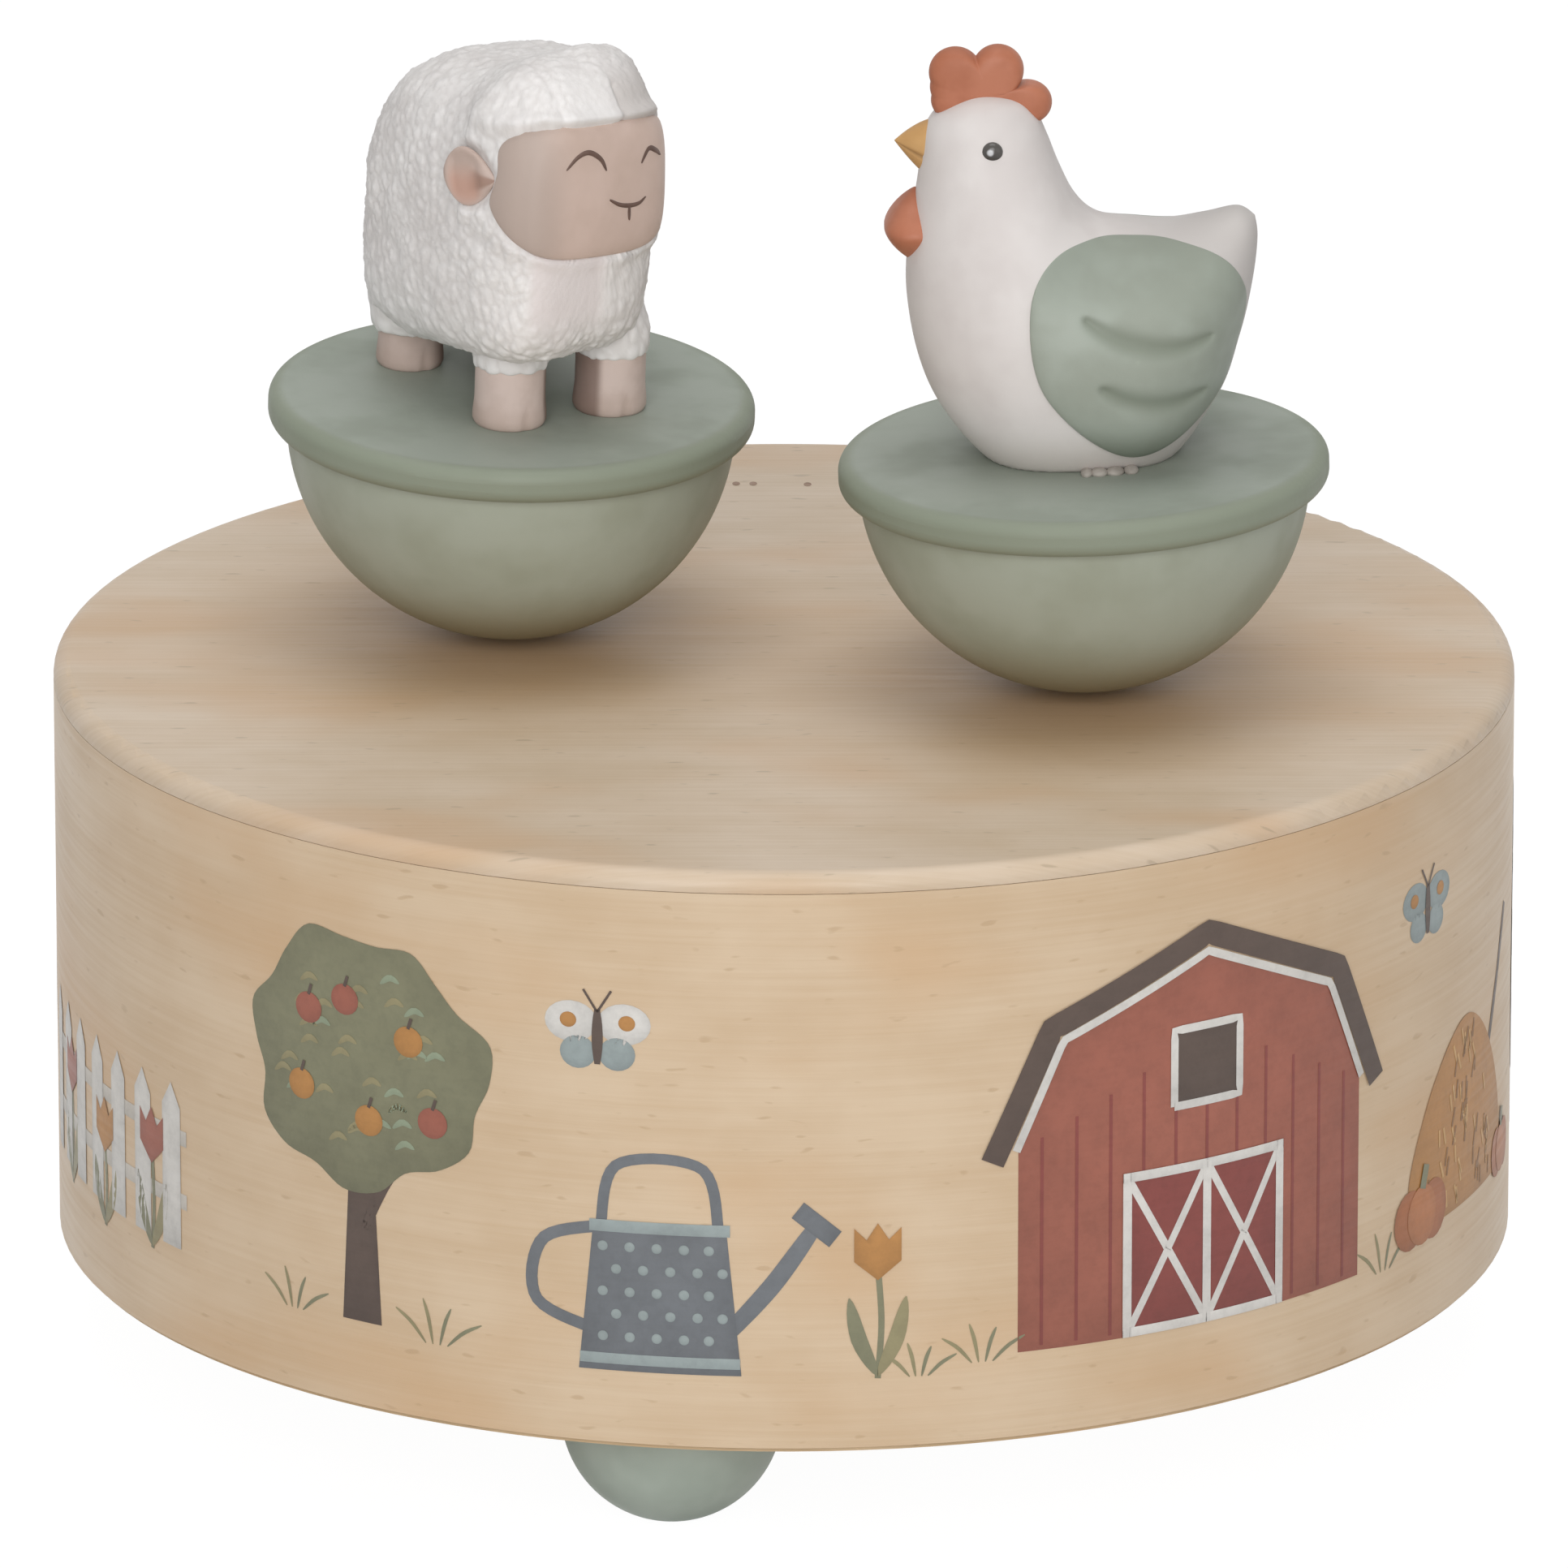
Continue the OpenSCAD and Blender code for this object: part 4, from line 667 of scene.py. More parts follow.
for name, (base, line, dull, nodes) in METALS.items():
    dress(metal_look(name, base, line, dull), *nodes)
white_nylon = painted_look("gear_nylon", "#E4E1D6", "#D9D5C8", dull=0.42)
dress(white_nylon, "cylinder_pinion", "cylinder_gear", "rotor_gear", "governor_fly")
dress(painted_look("arm_nylon", "#8C9090", "#818586", dull=0.45), "rotor_arm")

# %% [markdown]
# ## Where the figures stand
# A figure is drawn round its own middle, with z up from its plate. It is then turned, raised over the
# centre of its bowl, and tipped and leaned a little, because the two tumblers are never quite upright.

# %% Standing a figure on its bowl
BOWL_Z = 77.8
SHEEP = {"axis": (*BOWL_AXES["sheep"], BOWL_Z), "rise": 2.1, "tip": 3, "lean": 1.9, "turn": -62}
HEN = {"axis": (*BOWL_AXES["hen"], BOWL_Z), "rise": 1.3, "tip": 1, "lean": -1.9, "turn": 0}


def stand(points, figure):
    """Turn about z, raise to the plate's top, tip about x, lean about y, then move to the bowl's centre."""
    raised = turned(points, "z", figure["turn"]) + [0, 0, figure["rise"]]
    return turned(turned(raised, "x", figure["tip"]), "y", figure["lean"]) + figure["axis"]


def figure_skin(rings, figure):
    """A closed skin over rings drawn in a figure's own frame."""
    return closed_skin(stand(rings, figure))


print("the sheep's plate is centred at", stand(np.zeros(3), SHEEP).round(2), "and the hen's at",
      stand(np.zeros(3), HEN).round(2))

# %% [markdown]
# ## Fleece
# The sheep's body and head are one casting covered in small curls. Its skin is a loft: sections with a
# boxy oval outline, placed along the back, and swung to one side towards the head. A row of the table
# holds a section's station, foot, top, half width and share of the swing, as shares of the sheep's size.

# %% Fleece skin
SHEEP_H, FLEECE_L, FLEECE_W, HEAD_TURN = 32.0, 28.4, 20.2, 16
UPPER_ROUND, LOWER_ROUND = 0.70, 0.40
FLEECE_ROWS = [
    [-0.490, 0.400, 0.400, 0.000, 0.00], [-0.475, 0.165, 0.610, 0.260, 0.00],
    [-0.420, 0.130, 0.735, 0.375, 0.00], [-0.310, 0.122, 0.815, 0.457, 0.00],
    [-0.180, 0.130, 0.868, 0.490, 0.00], [-0.030, 0.145, 0.895, 0.497, 0.10],
    [0.110, 0.165, 0.925, 0.490, 0.35], [0.240, 0.185, 0.985, 0.475, 0.70],
    [0.350, 0.205, 0.988, 0.443, 1.00], [0.430, 0.235, 0.940, 0.380, 1.00],
    [0.482, 0.330, 0.850, 0.280, 1.00], [0.500, 0.630, 0.630, 0.000, 1.00]]


def section(share):
    """Station, middle height, half height, half width and swing of the fleece at a share of its length."""
    station, low, high, wide, swing = np.moveaxis(along(FLEECE_ROWS, share), -1, 0)
    middle, half = (low + high) * SHEEP_H / 2, (high - low) * SHEEP_H / 2
    return station * FLEECE_L, middle, half, wide * FLEECE_W, np.radians(swing * HEAD_TURN)


def box_level(y, z, wide, half, power):
    """|y / wide|^p + |z / half|^p: 1 on a boxy oval's outline and less within it."""
    return (np.abs(y) / wide) ** power + (np.abs(z) / half) ** power


def swung(x, y, z, swing):
    """A section's place turned towards the head: most of a turn about z, with little sideways shift."""
    return np.stack([
        x * np.cos(swing) - y * np.sin(swing), 0.1 * x * np.sin(swing) + y * np.cos(swing), z + 0 * x], -1)


def fleece_grid(rows, columns):
    """Points of the bare skin with their section's y and z: the radius is level^(-1 / p) all round."""
    share = np.linspace(0.003, 0.997, rows)[:, None]
    a = full_turn(columns)[None, :]
    x, mid, half, wide, swing = section(share)
    power = 2 / np.where(np.sin(a) < 0, LOWER_ROUND, UPPER_ROUND)
    level = box_level(np.cos(a), np.sin(a), np.maximum(wide, 0.02), np.maximum(half, 0.02), power)
    radius = level ** (-1 / power)
    y, z = radius * np.cos(a), mid + radius * np.sin(a)
    return swung(x + 0 * y, y, z, swing), y, z, share + 0 * y


def grid_normals(points):
    """Outward unit normals of a grid that wraps in its columns: the cross product of its two directions."""
    n = np.cross(np.gradient(points, axis=0), np.roll(points, -1, 1) - np.roll(points, 1, 1))
    n /= np.linalg.norm(n, axis=-1, keepdims=True) + 1e-9
    return n * np.sign((n * (points - points.mean((0, 1)))).sum(-1).mean())


print("bare skin in mm:", np.ptp(fleece_grid(20, 40)[0], (0, 1)).round(1))

# %% [markdown]
# ### Curls
# The curls are pillows round scattered seeds, so each point rises by how near it is to its own seed and
# sinks where two pillows meet. Such cells are often left to a bump texture, but here the curls are big
# enough to show in the outline, so they are real. Seeds are scattered one to a cube, from a fixed list of
# random numbers so that every run is the same, and a point looks at the 27 cubes round it.

# %% Curl pattern
scatter = np.random.default_rng(7).random((4096, 3))
SEED_STRIDE, CLOUD_STRIDE = [73, 1579, 2917], [197, 1693, 3119]


def cube_steps(steps):
    """All triples of the given steps, as rows."""
    return np.stack(np.meshgrid(steps, steps, steps, indexing="ij"), -1).reshape(-1, 3)


def cell_distances(points, size):
    """Distances to the nearest and second nearest seed, in cube sides, with a seed in each cube of a size."""
    place = points.reshape(-1, 3) / size
    cubes = np.floor(place).astype(int)[:, None, :] + cube_steps([-1, 0, 1])
    seeds = cubes + scatter[(cubes @ SEED_STRIDE) % len(scatter)]
    away = np.sort(np.linalg.norm(place[:, None, :] - seeds, axis=-1), axis=1)
    return away[:, 0].reshape(points.shape[:-1]), away[:, 1].reshape(points.shape[:-1])


def cloudy(points, size, channel=0):
    """Smooth noise from -1 to 1: random values at cube corners, blended by 3t^2 - 2t^3 along each axis."""
    place = points / size
    base = np.floor(place).astype(int)
    t = smooth(place - base, 0, 1)[..., None, :]
    steps = cube_steps([0, 1])
    value = scatter[((base[..., None, :] + steps) @ CLOUD_STRIDE) % len(scatter), channel]
    weight = np.where(steps == 1, t, 1 - t).prod(-1)
    return 2 * (value * weight).sum(-1) - 1


def curls(points, size):
    """Pillows from 0 to 1 and the creases between them, where the two nearest seeds are equally far."""
    bent = points + 0.3 * size * np.stack([cloudy(points, 1.9 * size, k) for k in range(3)], -1)
    first, second = cell_distances(bent, size)
    gap = second - first
    return np.sqrt(smooth(gap, -0.15, 0.6)) * (1 - 0.5 * smooth(first, 0.0, 0.9)), 1 - smooth(gap, 0.0, 0.3)


pillow, crease_shade = curls(np.array([[1.0, 2.0, 3.0]]), 1.25)
print("at one place the pillow is", pillow.round(3), "and the crease", crease_shade.round(3))

# %% [markdown]
# ### The face's place
# The face lies on the front of the head, so both the wool and the face need to know where that is. A
# place on the front is a pair y and z, and its level is 1 on the face's edge and 0 in its middle.

# %% Face place
FACE_W, FACE_H, FACE_MID, FACE_SLANT = 0.431 * FLEECE_W, 0.177 * SHEEP_H, 0.677 * SHEEP_H, 0.11
FACE_T, FACE_UNDER, GLUE, HALVINGS = 0.7, 0.45, 0.2, 22


def face_up(y, z):
    """Height over the face's middle line, which slants."""
    return z - FACE_MID + FACE_SLANT * y


def face_outline(y, up):
    """Half width and roundness of the face's edge: its right cheek is 5 per cent wider, below the middle."""
    right = np.asarray(y) < 0
    roundness = np.where(up > 0, np.where(right, 0.52, 0.46), np.where(right, 0.58, 0.62))
    return FACE_W * (1 + 0.05 * right * (1 - smooth(up, -2.0, 2.0))), roundness


def face_level(y, z):
    """The boxy oval's level of a place, to the power 1 / p, with its width and power from the outline."""
    up = face_up(y, z)
    wide, roundness = face_outline(y, up)
    power = 2 / roundness
    return box_level(y, up, wide, FACE_H, power) ** (1 / power)


def front_point(y, z, lift):
    """The place y, z on the front of the head, by halving the share of the length, lifted from the middle."""
    low, high = np.full(y.shape, 0.6), np.ones(y.shape)
    for _ in range(HALVINGS):
        share = (low + high) / 2
        _, mid, half, wide, _ = section(share)
        power = 2 / np.where(z < mid, LOWER_ROUND, UPPER_ROUND)
        outside = box_level(y, z - mid, np.maximum(wide, 0.01), np.maximum(half, 0.01), power) > 1
        low, high = np.where(outside, low, share), np.where(outside, share, high)
    x, *_, swing = section((low + high) / 2)
    p = swung(x, y, z, swing)
    away = p - np.stack([0.2 * FLEECE_L + 0 * z, 0 * z, z], -1)
    return p + lift[..., None] * away / np.linalg.norm(away, axis=-1, keepdims=True)


def face_lift(y, z):
    """Height of the face over the wool's skin: the glue line plus the thickness times sqrt(1 - level^4)."""
    return GLUE + FACE_T * np.sqrt(np.clip(1 - face_level(y, z) ** 4, 0, 1))


print("face", round(2 * FACE_W, 1), "mm wide and", round(2 * FACE_H, 1), "mm high")

# %% [markdown]
# ### Brow, chest and beds
# The wool isn't the same all over. Locks of hair lie side by side over the brow, a smooth bib of shorter
# wool runs down the chest, and the wool gives way under the face and the ears. Each is a soft mask.

# %% Brow and ear beds
EAR_L, EAR_DROOP, EAR_SWEEP = 5.4, 6, 156.4
EAR_HIGH, EAR_THICK, CUP_DEEP = 0.46, 0.35, 0.72
TUFTS = [-9.4, -6.9, -4.0, 2.0, 7.0]


def tufts(y):
    """Locks of hair side by side: 1 - 0.5 d^4 in each span of the list, with d from -1 to 1 across it."""
    low, high = np.array(TUFTS[:-1]), np.array(TUFTS[1:])
    d = (2 * y[..., None] - low - high) / (high - low)
    return np.where(np.abs(d) <= 1, 1 - 0.5 * d ** 4, 0).max(-1)


def ear_root(side):
    """The place on the head, behind the cheek, that an ear grows from."""
    return swung(0.33 * FLEECE_L, side * (FLEECE_W / 2 - 1.4), 0.715 * SHEEP_H, math.radians(HEAD_TURN))


def ear_bed(points, side):
    """1 on the wool that an ear lies over, fading to 0 within a millimetre of its outline."""
    away = points - ear_root(side) - [-2.6, 0.9 * side, -0.3]
    return 1 - smooth(np.linalg.norm(away * [0.9, 0.6, 1.0], axis=-1), 2.0, 3.2)


print("ears grow from", ear_root(1).round(2), "and", ear_root(-1).round(2))

# %% [markdown]
# ### The wool itself
# The skin is raised by two sizes of curl and a slow swell. The creases keep a value of their own, which
# paints them darker as painted shade; the brow past y = 2 mm gets the same painted shade.

# %% Wool
CURL_SIZE, FINE_SIZE, SWELL_SIZE = 1.25, 0.68, 2.6
CURL_RISE, FINE_RISE, SWELL_RISE, HAIR_RISE, SADDLE_RISE = 0.18, 0.12, 0.18, 0.3, 0.6
NAPE_SINK, FAR_SINK, FACE_SINK, EAR_SINK, SKIN_SINK = 0.5, 0.45, 0.3, 0.6, 0.1


def fleece_part():
    """The skin raised by two sizes of curl, smoothed on the brow and chest, and sunk under face and ears."""
    skin, y, z, share = fleece_grid(210, 400)
    normal = grid_normals(skin)
    up, lock = face_up(y, z) / FACE_H, tufts(y)
    level = np.where(share > 0.62, face_level(y, z), 3.0)
    brow = smooth(share, 0.60, 0.68) * plateau(up, 0.55, 0.95, 1.35, 1.9)
    chest = plateau(up, -2.35, -1.75, -0.9, -0.7) * plateau(y, -7.4, -6.2, 0.0, 1.6)
    chest = chest * smooth(share, 0.62, 0.72)
    under = 1 - smooth(level - 0.05 * brow * (1 - lock), 0.92, 1.0)
    fringe = np.exp(-(np.maximum(level - 1.06, 0) / 0.09 + np.maximum(1.06 - level, 0) / 0.05) ** 2)
    bed = np.maximum(ear_bed(skin, 1), ear_bed(skin, -1))
    calm = (1 - 0.85 * chest) * (1 - 0.6 * brow * smooth(y, -5.0, -1.0)) * (1 - 0.6 * bed) * (1 - under)
    big, crease_shade = curls(skin * [1, 1, 0.8], CURL_SIZE)
    small, fine = curls(skin, FINE_SIZE)
    wool = (CURL_RISE * big + FINE_RISE * small + SWELL_RISE * cloudy(skin, SWELL_SIZE)) * calm
    station, topside = section(share)[0] + 0 * y, smooth(normal[..., 2], 0.1, 0.8)
    saddle = SADDLE_RISE * np.exp(-((station + 3.5) / 6) ** 2) - NAPE_SINK * smooth(station, 6.5, 10.5)
    far_side = smooth(share, 0.6, 0.75) * smooth(y, 3.0, 7.0) * (1 - smooth(up, -1.25, -0.8))
    near = 1 - smooth(y, 1.8, 2.3)
    hair = HAIR_RISE * ((1 + brow * lock) * fringe * (1 - under) + (lock + near) * brow)
    sink = FAR_SINK * far_side + FACE_SINK * under + EAR_SINK * bed + SKIN_SINK
    rise = wool + hair + topside * saddle - sink
    # Painted shade: darker in the creases, and on the brow past y = 2 mm.
    shade = np.clip(0.26 * crease_shade + 0.18 * fine, 0, 1) * calm
    return skin + rise[..., None] * normal, np.maximum(shade, 0.9 * brow * (1 - near)), chest


wool_points, wool_shade, wool_chest = fleece_part()
print("wool:", wool_points.shape[:2], "points, mean crease", wool_shade.mean().round(3))

# %% [markdown]
# ### Fleece piece
# Wool is also drawn down over the top of each leg, as a tall thin ring, lower behind. The body and the
# four sleeves are one piece, since they are one casting.

# %% Fleece piece
LEG_D, LEG_H = 5.8, 6.6
LEGS = [
    ("front_left", 6.504, 5.606), ("front_right", 6.504, -3.606),
    ("back_left", -9.514, 4.606), ("back_right", -9.514, -4.606)]
SLEEVE_FRONT, SLEEVE_HIND = (LEG_D / 2 - 0.35, 7.1, 2.1, 0.3), (LEG_D / 2 + 0.05, 6.1, 2.9, 0.0)


def sleeve_part(x, y):
    """A tall thin oval carried round the top of a leg, narrower upwards in front, and raised by curls."""
    a, b = full_turn(90)[:, None], full_turn(36)[None, :]
    mid, middle, tall, cone = SLEEVE_FRONT if x > 0 else SLEEVE_HIND
    radius = mid + 0.5 * np.cos(b) - cone * np.sin(b)
    ring = np.stack([x + radius * np.cos(a), y + radius * np.sin(a), middle + tall * np.sin(b) + 0 * a], -1)
    centre = np.stack([x + mid * np.cos(a), y + mid * np.sin(a), middle + 0 * a], -1) + 0 * ring
    normal = (ring - centre) / np.linalg.norm(ring - centre, axis=-1, keepdims=True)
    big, crease_shade = curls(ring * [1, 1, 0.7], 1.2)
    # Painted shade in the creases of the sleeve's wool.
    return ring + (0.3 * big[..., None] - 0.1) * normal, 0.4 * crease_shade


wool_parts = [figure_skin(wool_points, SHEEP)]
shades, chests = [with_tips(wool_shade)], [with_tips(wool_chest, 0.6)]
for name, x, y in LEGS:
    ring, crease_shade = sleeve_part(x, y)
    wool_parts.append(torus_skin(stand(ring, SHEEP)))
    shades.append(crease_shade.ravel())
    chests.append(np.zeros(crease_shade.size))
fleece_look = painted_look(
    "fleece_resin", "#ECE9E7", "#E4E0DE", clouds=200, bumps=2500, dull=0.68, relief=0.15,
    tint={"chest": "#E6DBDA", "crease_shade": "#CBC5C1"})
make_piece(
    "sheep_wool", wool_parts, "sheep", fleece_look, ["sheep_fleece"],
    {"crease_shade": np.concatenate(shades), "chest": np.concatenate(chests)})

# %% [markdown]
# ## Face
# The face is a smooth painted patch with closed, smiling eyes and a small mouth. Rings of points shrink
# from its edge to its middle and are laid on the front of the head; the last ring goes down into the wool.

# %% Face piece
def star_rings(levels, edge_y, edge_z):
    """Places on rings that shrink from an edge to the face's middle, one ring for each level."""
    y = levels[:, None] * edge_y
    return y, FACE_MID - FACE_SLANT * y + levels[:, None] * edge_z


def face_part(rings=44, columns=160):
    """Rings at levels sin(90 k / n), lifted as the face is, then the same rings back under the wool."""
    a = full_turn(columns)
    roundness = face_outline(np.cos(a), np.sin(a))[1]
    edge_z = FACE_H * bulged(np.sin(a), roundness)
    edge_y = face_outline(np.cos(a), edge_z)[0] * bulged(np.cos(a), roundness)
    levels = np.sin(np.linspace(0.02, 1, rings) * np.pi / 2)
    y, z = star_rings(levels, edge_y, edge_z)
    top = front_point(y, z, face_lift(y, z))
    y, z = star_rings(levels[::-1], edge_y, edge_z)
    under = front_point(y, z, np.full(y.shape, -FACE_UNDER))
    return np.concatenate([top, under]), np.concatenate([y[::-1], y])


face_rings, face_y = face_part()
# Painted shade: the face darker towards its right cheek, at negative y.
face_look = painted_look("face_resin", "#D3BCB0", "#CAB3A6", clouds=160, dull=0.6, tint={"cheek": "#B3A298"})
make_piece(
    "sheep_face_patch", [figure_skin(face_rings, SHEEP)], "sheep", face_look,
    ["sheep_face"], {"cheek": with_tips(smooth(-face_y, 2.5, 6.8), 0.9)})

# %% [markdown]
# ### Eyes and mouth
# The eyes and the mouth are painted on with a fine brush. A texture would blur at this size, so each
# stroke is a thin ribbon that follows the face, a little crowned as wet paint dries.

# %% Eyes and mouth
STROKES = [
    ([(-3.81, 24.36), (-2.71, 25.23), (-1.60, 25.41), (-0.50, 24.64), (0.05, 23.57)], 0.42),
    ([(3.63, 23.30), (4.48, 24.30), (5.38, 23.89), (5.95, 23.36)], 0.42),
    ([(0.39, 21.02), (1.40, 20.36), (2.43, 20.02), (3.47, 19.95), (4.18, 20.31)], 0.38),
    ([(2.43, 20.02), (2.46, 19.40), (2.50, 18.74)], 0.32)]


def sideways(curve):
    """Unit steps to the left of a flat curve."""
    slope = np.gradient(curve, axis=0)
    return np.stack([-slope[:, 1], slope[:, 0]], -1) / (np.linalg.norm(slope, axis=1, keepdims=True) + 1e-9)


def brush_stroke(path, width, rows=60, columns=5):
    """A ribbon along a curve on the face: five points across, width w sin(180 t)^0.4, crowned by 0.06 mm."""
    t = np.linspace(0, 1, rows)
    curve = along(path, t)
    side, across = sideways(curve), np.linspace(-0.5, 0.5, columns)
    spread = (width * np.sin(np.pi * np.clip(t, 0.02, 0.98)) ** 0.4)[:, None] * across
    y, z = (curve[:, None, k] + spread * side[:, None, k] for k in (0, 1))
    points = stand(front_point(y, z, face_lift(y, z) + 0.02 + 0.06 * (1 - 4 * across ** 2)), SHEEP)
    return points.reshape(-1, 3), grid_faces(rows, columns, wrap=False)[:, ::-1], NO_FANS


line_look = painted_look("brown_line", "#6A5248", "#5C463D", clouds=600, dull=0.5)
strokes = [brush_stroke(path, width) for path, width in STROKES]
make_piece("sheep_face_lines", strokes, "sheep", line_look)

# %% [markdown]
# ## Ears
# An ear is a leaf: an oval section that grows and shrinks along its length, hollowed on the side that
# faces out. It is painted pink inside the cup, and darker at its root as painted shade.

# %% Ears
def ear_part(side):
    """Oval sections h l sin(180 t^1.25)^0.6 high along the ear, pushed in on the outer side to a cup."""
    t, a = np.linspace(0.01, 0.99, 60)[:, None], full_turn(72)[None, :]
    swell = np.sin(np.pi * t ** 1.25)
    high = EAR_HIGH * EAR_L * swell ** 0.6
    outer = smooth(-side * np.cos(a), 0.1, 0.9)
    cup = outer * smooth(swell, 0.25, 0.85)
    thick = EAR_THICK * high * np.cos(a) * (1 - CUP_DEEP * cup)
    leaf = np.stack([EAR_L * t + 0 * a, thick, high * np.sin(a)], -1)
    leaf = turned(turned(leaf, "y", EAR_DROOP), "z", side * EAR_SWEEP)
    inside = cup * (1 - smooth(np.sin(a), -0.3, 0.65))
    # Painted shade: darker at the ear's root.
    root = outer * (1 - smooth(t, 0.2, 0.6)) * (1 - smooth(np.abs(np.sin(a) + 0.1), 0.2, 0.55))
    values = {"inside": with_tips(inside, 0.85), "root": with_tips(root, 0.7)}
    return figure_skin(leaf + ear_root(side), SHEEP), values


ear_look = painted_look(
    "ear_resin", "#C6B2A8", "#BBA69B", clouds=300, dull=0.6, tint={"inside": "#C29886", "root": "#94705F"})
for name, side in (("left", 1), ("right", -1)):
    part, values = ear_part(side)
    make_piece(
        f"sheep_ear_{name}_leaf", [part], "sheep", ear_look, [f"sheep_ear_{name}"], values)

# %% [markdown]
# ## Legs
# A leg is a short post with a flared hoof, split in front by a narrow cleft. It is a profile turned round
# an upright line. The inner sides are painted darker, as painted shade under the belly, and the hind legs a
# little darker all round, as painted shade too.

# %% Legs
LEG_STEPS = [0.0, 0.12, 0.4, 0.9, 1.4, 1.8, 2.2, 2.8, 3.6, 4.6, 5.6, LEG_H]


def leg_part(x, y):
    """A post turned from a profile, with its foot flared and a cleft pressed into the front of the hoof."""
    hind = x < 0
    z, a = np.array(LEG_STEPS)[:, None], full_turn(96)[None, :]
    flare = 0.14 * (1 - smooth(z, 0.6, 2.4)) - 0.2 * (1 - smooth(z, 0.0, 0.3))
    cleft = 0.12 * np.exp(-((np.mod(a + np.pi, 2 * np.pi) - np.pi) / 0.13) ** 2) * (1 - smooth(z, 1.2, 2.2))
    radius = LEG_D / 2 + flare - cleft - (0.25 if hind else 0)
    rings = np.stack([x + radius * np.cos(a), y + radius * np.sin(a), z + 0 * a], -1)
    hoof = (0.45 * (1 - smooth(z, 1.2, 2.4)) + 0 * a) + 0.2 * (cleft > 0.04)
    # Painted shade: darker on the inner sides, and a little on the hind legs all round.
    inner = smooth(-np.sign(y) * np.sin(a), 0.2 if hind else 0.6, 0.8) + (0.15 if hind else 0) + 0 * z
    values = {"hoof": with_tips(np.clip(hoof, 0, 1)), "inner": with_tips(inner, 0.75)}
    return figure_skin(rings, SHEEP), values


leg_look = painted_look(
    "leg_resin", "#D1BEB5", "#C5B1A7", clouds=300, dull=0.6, tint={"hoof": "#B5A094", "inner": "#6F564B"})
for name, x, y in LEGS:
    part, values = leg_part(x, y)
    make_piece(f"sheep_post_{name}", [part], "sheep", leg_look, [f"sheep_leg_{name}"], values)

# %% [markdown]
# ## Hen
# The hen is one smooth casting. Ribs run from the tail to the crown, each an oval between a point on the
# back line and a point on the breast line, so one short table holds the whole outline.

# %% Hen body
HEN_H, HEN_L, HEN_W = 31.0, 28.6, 19.2
HEN_ROWS = [
    [0.506, 0.632, 0.506, 0.632, 0.000], [0.455, 0.655, 0.512, 0.572, 0.115],
    [0.362, 0.636, 0.495, 0.460, 0.240], [0.258, 0.620, 0.456, 0.318, 0.360],
    [0.155, 0.628, 0.382, 0.146, 0.443], [0.056, 0.646, 0.192, -0.047, 0.490],
    [-0.002, 0.700, -0.175, -0.057, 0.500], [-0.044, 0.785, -0.408, 0.158, 0.474],
    [-0.075, 0.867, -0.488, 0.459, 0.396], [-0.108, 0.937, -0.445, 0.772, 0.292],
    [-0.161, 0.981, -0.407, 0.924, 0.198], [-0.273, 1.003, -0.273, 1.003, 0.000]]


def hen_rib(share):
    """Middle and half length of a rib in x and z, and its half width; the share runs from tail to crown."""
    q = along(HEN_ROWS, share)
    back, breast = q[..., 0:2] * [HEN_L, HEN_H], q[..., 2:4] * [HEN_L, HEN_H]
    return (back + breast) / 2, (back - breast) / 2, q[..., 4] * HEN_W


def hen_part(rows=200, columns=160):
    """Ovals mid + half cos(a), width sin(a), with the foot cut flat at the plate."""
    share, a = np.linspace(0.002, 0.998, rows), full_turn(columns)[None, :]
    mid, half, wide = hen_rib(share)
    x, z = (mid[:, None, k] + half[:, None, k] * np.cos(a) for k in (0, 1))
    return np.stack([x, wide[:, None] * np.sin(a), np.maximum(z, 0.0)], -1)


hen_rings = hen_part()
# Painted shade: the body darker near its plate and towards its tail.
foot_shade = with_tips(1 - smooth(hen_rings[..., 2], 0.2, 5.0), 0.8)
tail_shade = with_tips(smooth(hen_rings[..., 0], -0.06 * HEN_L, 0.36 * HEN_L), 0.8)
hen_look = painted_look(
    "hen_resin", "#DCD6D3", "#D4CDCA", clouds=140, bumps=1800, dull=0.6, relief=0.06,
    tint={"foot": "#D0C8C2", "tail": "#BCB7B3"})
make_piece(
    "hen_casting", [figure_skin(hen_rings, HEN)], "hen", hen_look, ["hen_body"],
    {"foot": foot_shade, "tail": tail_shade})

# %% [markdown]
# ### Under the wings
# A wing is a cushion laid on the flank, with two carved grooves. To lie close it has to know how wide the
# hen is at each place, so the rib through the place is found by halving. The grooves are curves, and a
# place is carved by how near it is to one of them.

# %% Flank and grooves
WING_MID, GROOVE_WIDE, GROOVE_DEEP = (0.16, 0.34), 0.8, 0.42
GROOVES = [
    [(0.40, 14.08), (1.87, 13.01), (3.81, 12.08), (6.09, 11.49), (8.39, 11.43), (10.53, 11.92)],
    [(1.61, 8.40), (3.35, 7.38), (5.64, 6.72), (7.95, 6.65), (9.90, 7.10)]]


def flank(p):
    """Half width of the hen at x, z: the rib through the place by halving, then w sqrt(1 - c^2) on it."""
    low, high = np.full(p.shape[:-1], 0.02), np.full(p.shape[:-1], 0.98)
    for _ in range(HALVINGS):
        share = (low + high) / 2
        mid, half, wide = hen_rib(share)
        d = p - mid
        past = half[..., 1] * d[..., 0] - half[..., 0] * d[..., 1] > 0
        low, high = np.where(past, low, share), np.where(past, share, high)
    mid, half, wide = hen_rib((low + high) / 2)
    c = ((p - mid) * half).sum(-1) / (half * half).sum(-1)
    return wide * np.sqrt(np.maximum(0, 1 - c * c))


